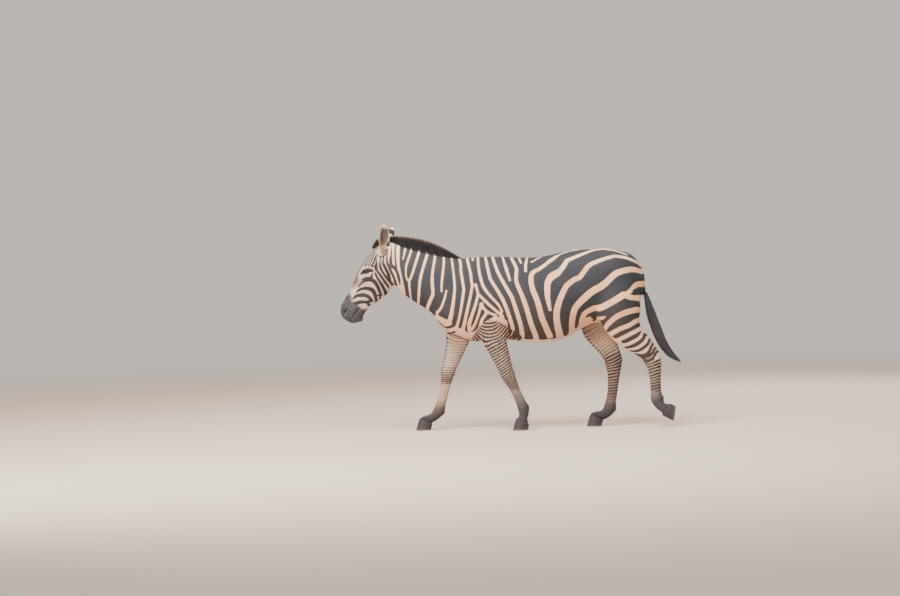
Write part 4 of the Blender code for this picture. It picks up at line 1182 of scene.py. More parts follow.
def body_marks(points, normals, tree):
    """Signed distance to the edge of the stripes of trunk, neck and head, above 0 where pale."""
    left = left_places(points, tree)
    field = -inside_outline(left[:, (0, 2)], np.array(DARK_FIELD) / 1000)
    for strokes, narrower in PALE_STROKES:
        pale = stroke_field(left, tree, strokes) - narrower
        field = rounded_highest(field, pale, PALE_JOIN)
    for strokes, taper, wider in DARK_STROKES:
        field = np.minimum(field, -stroke_field(left, tree, strokes, taper) - wider)
    x, y, z = points.T
    bare = smoothstep(-normals[:, 2], 0.84, 0.98) * (z < 0.90)
    inner = smoothstep(-normals[:, 1] * np.sign(y), 0.10, 0.60) * (z < 0.86)
    bare = np.maximum(bare, inner) * 0.03 - 0.002
    field = np.maximum(field, np.where(bare > 0, bare, -1))
    start, end, top, half = BELLY_LINE
    belly = half - np.abs(y) + wander(points, 9.0, 4) * 0.006
    under = (normals[:, 2] < -0.7) & (x > start) & (x < end) & (z < top)
    field = np.minimum(field, -np.where(under, belly, -1))
    start, end, low, half = BACK_BANDS
    beside = half - np.abs(np.abs(y) - BAND_PLACE) + wander(points, 20.0, 15) * 0.003
    field = np.maximum(field, np.where((x > start) & (x < end) & (z > low), beside, -1))
    start, end, low, half = BACK_LINE
    spine = half - np.abs(y) + wander(points, 30.0, 3) * 0.0015
    return np.minimum(field, -np.where((x > start) & (x < end) & (z > low), spine, -1))


def ring_marks(points, normals):
    """The nearest limb of each point, and the phase and the bias of the rings there."""
    limb, way_down, ahead, reach, _ = limb_chart(points)
    z = points[:, 2]
    ways = np.linspace(0, 1.6, 400)
    phase = np.zeros(len(points))
    here = np.zeros(len(points))
    inner_way = -normals[:, 1] * np.sign(points[:, 1])
    inner = smoothstep(inner_way, 0.25, 0.85)
    for k, (name, top) in enumerate(RING_TOPS.items()):
        mine = limb == k
        end, bare = RING_ENDS[name]
        fore = name.startswith("fore")
        spacing = np.interp(ways, *np.transpose(FORE_SPACING if fore else HIND_SPACING))
        turns = np.cumsum(1 / spacing) * (ways[1] - ways[0])
        way = way_down.copy()
        if fore:
            below = smoothstep(way_down, 0.16, 0.34)
            way += FOREARM_ARCH * (1 - below) * ahead ** 2 - 0.30 * ahead * below
            limit = top - FOREARM_ARCH * (ahead + 0.01) ** 2
        else:
            way -= 0.22 * ahead
            outer = smoothstep(-inner_way, -0.15, 0.15)
            limit = top - max(top - OUTER_RING_TOP, 0) * outer
        way += wander(points, 14.0, 5 + k) * 0.0045
        phase[mine] = np.interp(way, ways, turns)[mine]
        shown = smoothstep(limit - z, -0.006, 0.010) * smoothstep(z, end - 0.02, end + 0.03)
        shown *= 1 - 0.62 * inner * smoothstep(z, bare - 0.12, bare)
        shown *= reach < 0.20
        here[mine] = shown[mine]
    return limb, phase, RING_BIAS[0] * (1 - here) - RING_BIAS[1]


def face_lines(points):
    """Where points lie in the head's axes, and the phase and bias of the forehead's lines."""
    local = (points - np.array(POLL)) @ np.array(Matrix(head_axes()).transposed())
    s, h, y = local.T
    rows = eased(list(HEAD.values()), STEPS)
    crown = np.interp(s, rows[:, 0], rows[:, 1])
    arc = np.abs(y) + np.maximum(crown - h, 0) * 0.9
    spacing = np.interp(s, *np.transpose(BROW_SPACING))
    phase = arc / spacing + 0.25 + wander(points, 22.0, 9) * 0.12
    brow = smoothstep(points[:, 2], 1.262, 1.276)
    front = 1 - smoothstep(arc, 0.070, 0.082)
    shown = smoothstep(s, 0.030, 0.045) * (1 - smoothstep(s, 0.39, 0.46))
    shown *= np.maximum(brow * (1 - smoothstep(points[:, 0], -1.012, -0.998)), front * (s < 0.5))
    return local, phase, 0.0090 * (1 - shown) - 0.0018


def ear_chart(points, normals):
    """For each point how far up an ear it lies, or -1 off the ears, and whether in the cup.

    Then which ear it is, and how near the point is to the rim.
    """
    level = np.full(len(points), -1.0)
    inside = np.zeros(len(points))
    which = np.zeros(len(points), int)
    rim = np.zeros(len(points))
    for k, (word, _) in enumerate(SIDES):
        root, up, opening, across = (np.array(v) for v in ear_axes(word))
        rel = points - root
        up_way = rel @ up / EAR_LENGTH
        out = rel - np.outer(rel @ up, up)
        reach = np.linalg.norm(out, axis=1)
        towards = (normals * out).sum(axis=1)
        turn = np.degrees(np.arctan2(rel @ across, -(rel @ opening)))
        rows = eased(EAR_ROWS, STEPS)
        wrap = np.interp(up_way, rows[:, 0], rows[:, 2])
        radius = np.interp(up_way, rows[:, 0], rows[:, 1])
        mine = (up_way > EAR_FEET[word]) & (up_way < 1.1) & (np.abs(reach - radius) < 0.016)
        level[mine] = up_way[mine]
        inside[mine] = (towards < 0)[mine]
        rim[mine] = (np.abs(turn) / wrap)[mine]
        which[mine] = k
    return level, inside, which, rim


def coat_marks(points, normals, tree):
    """All that the coat's material needs at the points: stripes, rings, ground and ink."""
    field = body_marks(points, normals, tree)
    limb, phase, bias = ring_marks(points, normals)
    local, lines, line_bias = face_lines(points)
    x, z = points[:, 0], points[:, 2]
    head = (local[:, 0] > 0.02) & (x < -0.93)
    phase = np.where(head, lines, phase)
    bias = np.where(head, line_bias, bias)
    # The ground and the ink by height carry painted light: the pale is lighter towards the back and
    # warmer low down, and the ink has a painted bluish sheen higher up
    ground = table_at(BODY_GROUND, z)
    ink = table_at(BODY_INK, z)
    # Each leg's ground by height; the upper parts of the far legs carry painted shade
    for k, rows in enumerate(LEG_GROUND.values()):
        weight = (limb == k) * (1 - smoothstep(z, 0.60, 0.84))
        ground = lerp(ground, table_at(rows, z), weight)
        ink = tinted(ink, LEG_INK, weight)
        ink = lerp(ink, ground * 0.8, weight * (1 - smoothstep(z, 0.16, 0.26)))
    face = smoothstep(local[:, 0], -0.04, 0.10) * (x < -0.90)
    ground = tinted(ground, HEAD_GROUND, face)
    ink = tinted(ink, HEAD_INK, face)
    bridge = smoothstep(local[:, 0], 0.33, 0.42) * smoothstep(local[:, 1], -0.02, 0.02) * face
    ground = tinted(ground, BRIDGE_TINT, bridge)
    dark, muzzle = muzzle_marks(points, local)
    ground = lerp(ground, dark, muzzle * face)
    ink = lerp(ink, dark, muzzle * face)
    # Spots of the coat's own colour, and one painted shade on the far hind leg's inner thigh
    for middle, radii, edge, spot in SPOTS:
        ground = tinted(ground, spot, smoothstep(soft_spot(points, middle, radii, 1.5), *edge))
    ear = ear_chart(points, normals)
    field, ground, bias = ear_marks(ear, field, ground, bias)
    ink = tinted(ink, EAR_DARK, ear[0] > 0)
    return {"mark": field, "ring": phase, "ring_bias": bias, "ground": ground, "ink": ink}


def muzzle_marks(points, local):
    """The colour of the bare muzzle at each point, with painted shade in the nostrils' pits and along
    the mouth, and 1 where the muzzle is.
    """
    s, h = local[:, 0], local[:, 1]
    over = s - np.interp(h, *np.transpose(MUZZLE)) + wander(points, 40.0, 11) * 0.006
    soft = np.interp(h, (-0.06, 0.02), (0.012, 0.034))
    pits = soft_spot(local, (0.592, -0.026, 0.0), (0.020, 0.010, 1.0), 1.0)
    lips = np.exp(-(stroke_distance(local[:, :2], eased(MOUTH, 4)) / 0.006) ** 2)
    mottle = smoothstep(wander(points, 55.0, 13) + wander(points, 130.0, 14) * 0.6, -0.5, 1.1)
    # The pits of the nostrils and the line of the mouth are painted dark: painted shade in these
    # hollows
    dark = tinted(np.array([tint(MUZZLE_TINT)[:3]]), NOSTRIL_AND_MOUTH_SHADE, pits * 0.8)
    dark = tinted(dark, NOSTRIL_AND_MOUTH_SHADE, lips * 0.5 * (s > 0.49))
    return tinted(dark, MUZZLE_PALE, mottle * 0.28), smoothstep(over / soft, -1.0, 1.0)


def ear_marks(chart, field, ground, bias):
    """The bands, the pale rim and the grey inside of the ears."""
    level, inside, _, rim = chart
    on_ear = level > 0.06
    ground = tinted(ground, EAR_PALE, on_ear)
    cup = inside * smoothstep(level, 0.10, 0.25) * (1 - smoothstep(rim, 0.74, 0.92))
    cup *= 1 - smoothstep(level, 0.80, 0.92)
    ground = tinted(ground, EAR_INSIDE, cup * on_ear)
    base = (1 - smoothstep(level, 0.16, 0.34)) * inside
    ground = tinted(ground, EAR_BASE, base * on_ear * 0.7)
    band = np.minimum(np.abs(level - 0.78) - 0.11, np.abs(level - 0.33) - 0.09) * 0.2
    band = np.where(inside > 0.5, 0.01, band)
    return np.where(on_ear, band, field), ground, np.where(on_ear, 0.006, bias)


def write_numbers(mesh, numbers):
    """Store the named numbers on the mesh's points."""
    for name, values in numbers.items():
        layer = mesh.attributes.new(name, "FLOAT", "POINT")
        layer.data.foreach_set("value", np.asarray(values, np.float32))


def write_colours(mesh, colours):
    """Store the named colours on the mesh's points."""
    for name, values in colours.items():
        layer = mesh.color_attributes.new(name, "FLOAT_COLOR", "POINT")
        rows = np.column_stack((values, np.ones(len(values))))
        layer.data.foreach_set("color", rows.astype(np.float32).ravel())


class Wire:
    """A shader socket that takes part in plain arithmetic."""

    def __init__(self, shader, socket):
        self.shader = shader
        self.socket = socket

    def reckon(self, operation, *others):
        """A Math node on this socket and the others."""
        return self.shader.node("ShaderNodeMath", {"operation": operation}, [self, *others])

    def __add__(self, other):
        return self.reckon("ADD", other)

    __radd__ = __add__

    def __mul__(self, other):
        return self.reckon("MULTIPLY", other)

    __rmul__ = __mul__

    def __sub__(self, other):
        return self.reckon("SUBTRACT", other)

    def __rsub__(self, other):
        return self.shader.node("ShaderNodeMath", {"operation": "SUBTRACT"}, [other, self])

    def ramp(self, low, high):
        """0 below the low value, 1 above the high one, smooth between."""
        return self.shader.node("ShaderNodeMapRange", {"interpolation_type": "SMOOTHSTEP"},
                                [self, low, high, 0.0, 1.0])


class Shader:
    """A material of one Principled shader, and the nodes that feed it."""

    def __init__(self, name, **fixed):
        self.material = bpy.data.materials.new(name)
        self.material.use_nodes = True
        self.tree = self.material.node_tree
        self.surface = self.tree.nodes["Principled BSDF"]
        for socket, value in fixed.items():
            self.surface.inputs[socket.replace("_", " ")].default_value = value

    def node(self, kind, settings=None, values=(), output=0):
        """A node with its settings and the values or wires of its sockets; its output."""
        made = self.tree.nodes.new(kind)
        for setting, value in (settings or {}).items():
            setattr(made, setting, value)
        pairs = values.items() if isinstance(values, dict) else enumerate(values)
        for key, value in pairs:
            self.put(made.inputs[key], value)
        return Wire(self, made.outputs[output])

    def put(self, socket, value):
        """Link a wire to the socket, or set its value."""
        if isinstance(value, Wire):
            self.tree.links.new(value.socket, socket)
        else:
            socket.default_value = value

    def feed(self, name, value):
        """Lead a wire to the surface."""
        self.put(self.surface.inputs[name], value)

    def number(self, name):
        """A number stored on the mesh."""
        return self.node("ShaderNodeAttribute", {"attribute_name": name}, output="Fac")

    def colour(self, name):
        """A colour stored on the mesh."""
        return self.node("ShaderNodeAttribute", {"attribute_name": name}, output="Color")

    def place(self, scale=(1, 1, 1)):
        """The place on the object, stretched."""
        where = self.node("ShaderNodeTexCoord", output="Object")
        return self.node("ShaderNodeMapping", {}, {"Vector": where, "Scale": scale}, "Vector")

    def grain(self, vector, scale, detail=2.0, roughness=0.5):
        """Noise of about 0 to 1."""
        values = {"Vector": vector, "Scale": scale, "Detail": detail, "Roughness": roughness}
        return self.node("ShaderNodeTexNoise", {}, values, "Fac")

    def mix(self, share, first, second, blend="MIX"):
        """The first colour where the share is 0, the second where it is 1."""
        settings = {"data_type": "RGBA", "blend_type": blend}
        return self.node("ShaderNodeMix", settings, {0: share, 6: first, 7: second}, 2)

    def lit(self, colour, light):
        """The colour, made brighter or darker by the light."""
        shade = self.node("ShaderNodeCombineColor", {}, [light, light, light])
        return self.mix(1.0, colour, shade, "MULTIPLY")

    def bump(self, height, distance, strength):
        """Lead a height to the surface's normal."""
        values = {"Height": height, "Distance": distance, "Strength": strength}
        self.feed("Normal", self.node("ShaderNodeBump", {}, values, "Normal"))


def coat_shader(name, hairs):
    """Short striped hair. The skin under it and the blades on it share the marks."""
    shader = Shader(name, Roughness=0.78, Specular_IOR_Level=0.28)
    rings = (shader.number("ring") * (2 * math.pi)).reckon("SINE") * RING_SOFTNESS
    ragged = shader.grain(shader.place((1.0, 1.0, 0.6)), 170.0, 3.0, 0.65) - 0.5
    rings = rings + shader.number("ring_bias")
    field = shader.number("mark").reckon("MINIMUM", rings) + ragged * 0.006
    pale = field.ramp(-0.0016, 0.0016)
    blotch = shader.grain(shader.place(), 7.0, 3.0)
    fine = shader.grain(shader.place((0.35, 1.0, 0.7)), 420.0, 2.0, 0.6)
    dust = blotch.ramp(0.35, 0.75) * 0.35
    ground = shader.mix(dust, shader.colour("ground"), tint((214, 176, 146)), "MULTIPLY")
    ink = shader.mix(blotch.ramp(0.45, 0.80) * 0.14, shader.colour("ink"), tint((96, 76, 66)))
    colour = shader.mix(pale, ink, ground)
    light = 0.80 + fine * 0.36
    if hairs:
        # Each tuft is painted darker towards its root, painted shade where it lies down in the coat;
        # tone gives each tuft its own random tone
        light = light * (0.78 + shader.number("along") * 0.34) * (0.86 + shader.number("tone") * 0.28)
    shader.feed("Base Color", shader.lit(colour, light))
    if not hairs:
        lie = shader.grain(shader.place((0.22, 1.0, 0.55)), 520.0, 3.0, 0.6)
        shader.bump(lie + blotch * 0.4, 0.0022, 0.7)
    return shader.material


def aimed(name, data, place, aim, roll=0.0):
    """A lamp or the camera at its place, turned towards the aim."""
    thing = new_object(name, data)
    thing.location = place
    thing.rotation_mode = "QUATERNION"
    way = Vector(aim) - Vector(place)
    turn = Matrix.Rotation(roll, 4, "Z").to_quaternion()
    thing.rotation_quaternion = way.to_track_quat("-Z", "Y") @ turn
    return thing


def set_studio():
    """A pale floor, soft light and the camera."""
    floor = bmesh.new()
    bmesh.ops.create_grid(floor, x_segments=1, y_segments=1, size=FLOOR_SIZE)
    ground = new_object("studio_floor", mesh_from(floor, "studio_floor", False))
    shader = Shader("studio_floor", Roughness=0.9)
    worn = shader.grain(shader.place(), 1.3, 4.0)
    shader.feed("Base Color", shader.mix(worn * 0.25, tint((214, 196, 182)), tint((204, 186, 172))))
    x, y = (shader.node("ShaderNodeSeparateXYZ", {}, [shader.place()], axis) for axis in "XY")
    shader.feed("Alpha", 1.0 - (x * x + y * y).reckon("SQRT").ramp(*FLOOR_FADE))
    ground.data.materials.append(shader.material)
    for name, place, size, power, colour in LAMPS:
        lamp = bpy.data.lights.new(name, "AREA")
        lamp.shape = "DISK"
        lamp.size = size
        lamp.energy = power
        lamp.color = colour
        aimed(name, lamp, place, LAMP_AIM)
    world = bpy.data.worlds.new("studio_air")
    world.use_nodes = True
    world.node_tree.nodes["Background"].inputs["Color"].default_value = tint((226, 214, 204))
    world.node_tree.nodes["Background"].inputs["Strength"].default_value = AIR_LIGHT
    bpy.context.scene.world = world
    camera = bpy.data.cameras.new("camera")
    camera.lens = CAMERA_LENS
    camera.sensor_width = 36.0
    bpy.context.scene.camera = aimed("camera", camera, CAMERA_PLACE, CAMERA_AIM, CAMERA_ROLL)


def publish(mesh, name, slot, material, *nodes):
    """Put a finished piece in the scene, on the body, in place of the nodes."""
    mesh.materials.append(material)
    mesh.transform(Matrix.Translation(SHIFT))
    mesh.shade_smooth()
    thing = new_object(name, mesh)
    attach(thing, "root")
    if nodes:
        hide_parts(*nodes)
    return thing


def eyeball_shader():
    """A wet dark eye: brown iris, level black pupil and a clear coat."""
    shader = Shader("wet_eye", Roughness=0.22, Specular_IOR_Level=0.15, Coat_Weight=0.45,
                    Coat_Roughness=0.03)
    where = shader.node("ShaderNodeUVMap", {"uv_map": "iris"}, output="UV")
    u, v = (shader.node("ShaderNodeSeparateXYZ", {}, [where], axis) - 0.5 for axis in "XY")
    reach = (u * u + v * v).reckon("SQRT")
    pupil = (u * u * 7.0 + v * v * 30.0).reckon("SQRT").ramp(0.46, 0.54)
    fibres = shader.grain(shader.place(), 900.0)
    iris = shader.mix(fibres, tint((20, 12, 9)), tint((44, 27, 18)))
    iris = shader.mix(reach.ramp(0.30, 0.37), iris, tint((18, 13, 12)))
    ball = shader.mix(reach.ramp(0.39, 0.44), iris, tint((58, 46, 42)))
    shader.feed("Base Color", shader.mix(pupil, tint((10, 8, 10)), ball))
    return shader.material


def make_eyes():
    """The two balls of the eyes, and the rims of their lids."""
    glass, rim = eyeball_shader(), lid_shader()
    for word, side in SIDES:
        along_eye, above, out = eye_axes(side)
        turn = Matrix((along_eye, above, out)).transposed().to_4x4()
        place = Matrix.Translation(eye_place(side))
        bm = bmesh.new()
        layer = bm.loops.layers.uv.new("iris")
        bmesh.ops.create_uvsphere(bm, u_segments=40, v_segments=24, radius=EYE_RADIUS - 0.0004)
        for face in bm.faces:
            for loop in face.loops:
                x, y, _ = loop.vert.co / EYE_RADIUS
                loop[layer].uv = (0.5 + 0.5 * x, 0.5 + 0.5 * y)
        for vert in bm.verts:
            reach = math.hypot(vert.co.x, vert.co.y) / EYE_RADIUS
            if vert.co.z > 0:
                vert.co.z += 0.0010 * math.exp(-6 * reach ** 2)
        bmesh.ops.transform(bm, matrix=place @ turn, verts=bm.verts)
        publish(mesh_from(bm, "eye_" + word), "eyeball_" + word, "eye", glass, "eye_" + word)
        make_lid_rim(side, word, rim)


def lid_shader():
    """Bare black skin of lid rims, damp."""
    shader = Shader("lid_skin", Roughness=0.42, Specular_IOR_Level=0.5)
    fine = shader.grain(shader.place(), 700.0, 3.0)
    shader.feed("Base Color", shader.mix(fine, tint((30, 26, 27)), tint((56, 48, 48))))
    shader.bump(fine, 0.0006, 0.6)
    return shader.material


def make_lid_rim(side, word, material):
    """A soft rim round the opening of the eye, thicker at its front corner."""
    along_eye, above, out = eye_axes(side)
    place = eye_place(side)
    bm = bmesh.new()
    ring = Matrix.Translation((1, 0, 0)) @ Matrix.Rotation(math.pi / 2, 4, "X")
    made = bmesh.ops.create_circle(bm, segments=10, radius=0.1, cap_ends=False, matrix=ring)
    bmesh.ops.spin(bm, geom=edges_of(made["verts"]), cent=(0, 0, 0), axis=(0, 0, 1),
                   angle=2 * math.pi, steps=64, use_merge=True, dvec=(0, 0, 0))
    for vert in bm.verts:
        turn = math.atan2(vert.co.y, vert.co.x)
        across = math.hypot(vert.co.x, vert.co.y) - 1
        u, v = almond(turn)
        thick = 0.0025 + 0.0008 * max(0, math.cos(turn)) ** 4
        way = Vector((math.cos(turn), 2.0 * math.sin(turn))).normalized()
        u += way.x * across * 10 * thick
        v += way.y * across * 10 * thick
        height = math.sqrt(max((EYE_RADIUS + LID) ** 2 - u * u - v * v, 0)) - 0.0007
        vert.co = place + along_eye * u + above * v + out * (height + vert.co.z * 10 * thick)
    publish(mesh_from(bm, "lid_rim"), "lid_rim_" + word, "eye", material)


def horn_shader():
    """Slate horn of the hooves with growth rings, dry and scuffed at the ground."""
    shader = Shader("hoof_horn", Roughness=0.62, Specular_IOR_Level=0.35)
    level = shader.number("level")
    uneven = shader.grain(shader.place(), 30.0, 3.0)
    rings = ((level + uneven * 0.05) * 70.0).reckon("SINE") * 0.5 + 0.5
    streaks = shader.grain(shader.place((6.0, 6.0, 0.5)), 60.0, 3.0, 0.6)
    colour = shader.mix(streaks, tint((42, 40, 44)), tint((66, 62, 64)))
    colour = shader.mix(rings * 0.20, colour, tint((34, 33, 37)))
    dust = (1.0 - level).ramp(0.75, 1.0) * shader.grain(shader.place(), 90.0, 3.0) * 0.36
    shader.feed("Base Color", shader.mix(dust, colour, tint((168, 146, 128))))
    shader.feed("Roughness", 0.50 + streaks * 0.30)
    shader.bump(rings * 0.3 + streaks, 0.0010, 0.7)
    return shader.material


def hoof_matrix(name):
    """The place and the turn of a hoof."""
    middle, dip = HOOVES[name]
    return Matrix.Translation(middle) @ Matrix.Rotation(math.radians(-dip), 4, "Y")


def coronet_plane():
    """The middle and the normal of the coronet, in the hoof's axes, and the way to its front."""
    front = Vector((CORONET_FRONT[0], 0, CORONET_FRONT[1]))
    back = Vector((CORONET_BACK[0], 0, CORONET_BACK[1]))
    normal = (back - front).cross(Vector((0, 1, 0))).normalized()
    return (front + back) / 2, normal, front - back


def coronet_of(name):
    """The middle of a hoof's coronet and the way up from its plane, as arrays."""
    middle, normal, _ = coronet_plane()
    matrix = hoof_matrix(name)
    return np.array(matrix @ middle), np.array(matrix.to_3x3() @ normal)


def hoof_section(level, inset=0.0, rise=0.0):
    """A function from the turn about a hoof, 0 at its toe, to the point at the level."""
    middle, _, way = coronet_plane()

    def point(turn):
        heel = max(0.0, -math.cos(turn)) ** 2
        width = SOLE_WIDTH / 2 * (1 - HEEL_NARROWING * heel)
        flare = 1 + 0.012 * math.sin(level * 40) * (1 - level) - inset
        dent = 1 - 0.10 * math.exp(-((abs(turn) - math.pi) / 0.22) ** 2) * (1 - level * 0.5)
        low = Vector((-SOLE_LENGTH / 2 * math.cos(turn) * dent, width * math.sin(turn), 0)) * flare
        high = middle + way / 2 * math.cos(turn) * (1 - inset)
        high.y = CORONET_WIDTH / 2 * math.sin(turn) * (1 - inset)
        spot = low.lerp(high, level)
        spot.z += rise
        return spot

    return point


def make_hooves():
    """The four hooves, with a hollow sole and a rolled upper edge."""
    horn = horn_shader()
    for name in HOOVES:
        bm = lofting_bmesh()
        sections = [hoof_section(0.0, 0.62, 0.006), hoof_section(0.0, 0.34, 0.007),
                    hoof_section(0.0, 0.13, 0.003), hoof_section(0.0, 0.04, 0.0)]
        sections += [hoof_section(level) for level in np.linspace(0.02, 0.86, 11)]
        sections += [hoof_section(0.92, 0.02), hoof_section(0.97, 0.05), hoof_section(1.0, 0.10),
                     hoof_section(1.0, 0.22, -0.004)]
        loft(bm, sections, 40)
        mesh = mesh_from(bm, "hoof_" + name)
        points, _ = points_and_normals(mesh)
        write_numbers(mesh, {"level": np.clip(points[:, 2] / HORN_HEIGHT, 0, 1)})
        mesh.transform(hoof_matrix(name))
        publish(mesh, "horn_" + name, "hoof_horn", horn, "hoof_" + name)


def strand_mesh(name, centres, fronts, widths, form, places, numbers, colours):
    """Many tapered hairs or tufts as one mesh, each a closed three-sided spike.

    centres holds the points down each strand, the last being its tip. fronts are the ways
    that the flat sides face, places the roots on the unwrapped skin.
    """
    flat, roundness = form
    count, levels, _ = centres.shape
    rings = levels - 1
    ways = unit(np.diff(centres, axis=1))
    fronts = unit(fronts[:, None] - ways * (fronts[:, None] * ways).sum(-1, keepdims=True))
    sides = np.cross(ways, fronts)
    turns = np.radians((90.0, 210.0, 330.0))
    spread = sides[:, :, None] * np.cos(turns)[:, None]
    spread = spread + fronts[:, :, None] * np.sin(turns)[:, None] * flat
    ring = centres[:, :rings, None] + spread * widths[:, :rings, None, None]
    points = np.concatenate((ring.reshape(count, rings * 3, 3), centres[:, -1:]), axis=1)
    faces = [(0, 1, 2)]
    for r in range(rings - 1):
        for i, j in ((0, 1), (1, 2), (2, 0)):
            a, b = 3 * r + i, 3 * r + j
            faces += [(b, a, a + 3), (b, a + 3, b + 3)]
    faces += [(3 * rings - 3 + j, 3 * rings - 3 + i, 3 * rings) for i, j in ((0, 1), (1, 2), (2, 0))]
    faces = np.array(faces)
    size = 3 * rings + 1
    corners = (faces[None] + np.arange(count)[:, None, None] * size).reshape(-1)
    mesh = bpy.data.meshes.new(name)
    mesh.vertices.add(count * size)
    mesh.vertices.foreach_set("co", points.astype(np.float32).ravel())
    mesh.loops.add(len(corners))
    mesh.loops.foreach_set("vertex_index", corners.astype(np.int32))
    mesh.polygons.add(len(corners) // 3)
    mesh.polygons.foreach_set("loop_start", np.arange(0, len(corners), 3, dtype=np.int32))
    mesh.update()
    along = np.append(np.repeat(np.arange(rings) / rings, 3), 1.0)
    write_numbers(mesh, {"along": np.tile(along, count)})
    write_numbers(mesh, {key: np.repeat(values, size) for key, values in numbers.items()})
    write_colours(mesh, {key: np.repeat(rows, size, axis=0) for key, rows in colours.items()})
    lean = np.append(np.tile(np.cos(turns), rings), 0.0)
    rise = along * 2 - 1 + np.append(np.tile(np.sin(turns) * 0.3, rings), 0.0)
    patch = np.column_stack((lean, rise)) * (PATCH / 2)
    maps = (places[:, None] + patch[None]).reshape(-1, 2)[corners]
    unwrap = mesh.uv_layers.new(name="OFBake")
    unwrap.data.foreach_set("uv", maps.astype(np.float32).ravel())
    mesh.shade_smooth()
    out = unit(np.concatenate((spread.reshape(count, rings * 3, 3), fronts[:, -1:]), axis=1))
    normals = unit(out * roundness + fronts[:, :1] * (1 - roundness))
    mesh.normals_split_custom_set_from_vertices(normals.reshape(-1, 3).astype(np.float32))
    return mesh


def sow(chance, count, dice):
    """Random roots on the skin, denser where the chance per area is higher."""
    skin_mesh.calc_loop_triangles()
    corners = np.empty(len(skin_mesh.loop_triangles) * 3, np.int32)
    skin_mesh.loop_triangles.foreach_get("vertices", corners)
    corners = corners.reshape(-1, 3)
    a, b, c = (skin_points[corners[:, i]] for i in range(3))
    area = np.linalg.norm(np.cross(b - a, c - a), axis=1) / 2
    weight = np.cumsum(area * chance[corners].mean(axis=1))
    pick = np.searchsorted(weight, dice.random(count) * weight[-1])
    u, v = dice.random((2, count))
    fold = u + v > 1
    u, v = np.where(fold, 1 - u, u), np.where(fold, 1 - v, v)
    shares = np.column_stack((1 - u - v, u, v))
    return corners[pick], shares


def at_roots(values, corners, shares):
    """The values of the skin's points, read at the roots."""
    picked = values[corners]
    if picked.ndim == 2:
        return (picked * shares).sum(axis=1)
    return (picked * shares[:, :, None]).sum(axis=1)


def coat_lie(points, normals, charts):
    """The way that the short hair lies at each point."""
    limb, way_down, local, ears = charts
    x, y, z = points.T
    chest = smoothstep(-x, 0.40, 0.56) * (1 - smoothstep(z, 0.9, 1.1))
    neck = smoothstep(-x, 0.52, 0.70) * (1 - chest)
    lie = np.tile((1.0, 0.0, -0.40), (len(points), 1))
    lie = lerp(lie, (0.25, 0.0, -1.0), smoothstep(x, 0.80, 1.02))
    lie = lerp(lie, (0.35, 0.0, -1.0), chest)
    lie = lerp(lie, (0.80, 0.0, -0.70), neck)
    for k, joints in enumerate(LEGS.values()):
        line = eased(joints, 10)
        down = unit(rows_at(way_down, run_along(line), np.gradient(line, axis=0)))
        on_leg = (limb == k) * (1 - smoothstep(z, 0.62, 0.86))
        lie = lerp(lie, down + (0.10, 0.0, 0.0), on_leg)
    face = smoothstep(local[:, 0], -0.02, 0.10) * (x < -0.90)
    lie = lerp(lie, np.array(head_axes()[0]) + (0.15, 0.0, -0.25), face)
    tail = (x > 0.985) & (np.abs(y) < 0.035) & (z < 1.20)
    lie = np.where(tail[:, None], (0.12, 0.0, -1.0), lie)
    for k, (word, _) in enumerate(SIDES):
        on_ear = (ears[0] > 0) & (ears[2] == k)
        lie = np.where(on_ear[:, None], np.array(ear_axes(word)[1]), lie)
    return unit(lie - normals * (lie * normals).sum(axis=1, keepdims=True))


def coat_sizes(points, local, ears):
    """The lengths and the half widths of the tufts at the points."""
    face = smoothstep(local[:, 0], -0.02, 0.12) * (points[:, 0] < -0.90)
    nose = smoothstep(local[:, 0], 0.40, 0.54) * face
    low = 1 - smoothstep(points[:, 2], 0.30, 0.80)
    sizes = {part: np.array([size]) for part, size in TUFT_SIZES.items()}
    trunk = lerp(sizes["body"], sizes["low_leg"], low)
    head = lerp(sizes["face"], sizes["nose"], nose)
    return np.where(ears[0] > 0, sizes["ear"].T, lerp(trunk, head, face).T)


def coat_region(points, limb, local, reach):
    """The number of the coat piece that each root belongs to."""
    region = 1 + np.digitize(points[:, 0], PART_EDGES)
    region = np.where((local[:, 0] > 0.0) & (points[:, 0] < -0.90), 0, region)
    leg = (points[:, 2] < 0.78) & (reach < 0.16)
    region = np.where(leg & (limb < 2), 4, region)
    region = np.where(leg & (limb >= 2), 5, region)
    return region * 2 + (points[:, 1] > 0)


def unwrapped(points, region, way_down, turn, local, ears):
    """The place of each root on its piece's unwrapped skin."""
    part = region // 2
    x, y, z = points.T
    middle = np.interp(x, *np.transpose(UNWRAP_MIDDLE))
    u = np.zeros(len(points))
    v = np.arctan2(np.abs(y), z - middle) / math.pi
    for k, (low, high) in enumerate(UNWRAP_SPANS):
        u = np.where(part == k + 1, (x - low) / (high - low), u)
    head = part == 0
    u = np.where(head, local[:, 0] / HEAD_RUN * 0.86, u)
    v = np.where(head, np.arctan2(np.abs(local[:, 2]), local[:, 1] + 0.07) / math.pi, v)
    ear = head & (ears[0] > 0)
    u = np.where(ear, 0.88 + 0.11 * np.clip(ears[3], 0, 1), u)
    v = np.where(ear, 0.5 * ears[1] + 0.48 * np.clip(ears[0], 0, 1), v)
    leg = part >= 4
    u = np.where(leg, way_down / LEG_RUN, u)
    v = np.where(leg, turn / (2 * math.pi) + 0.5, v)
    return np.column_stack((np.clip(u, 0, 1), np.clip(v, 0, 1))) * 0.98 + 0.01


def on_map(u, v):
    """Places on the unwrapped skin, a little in from its edges."""
    return np.column_stack((u, v)) * 0.96 + 0.02


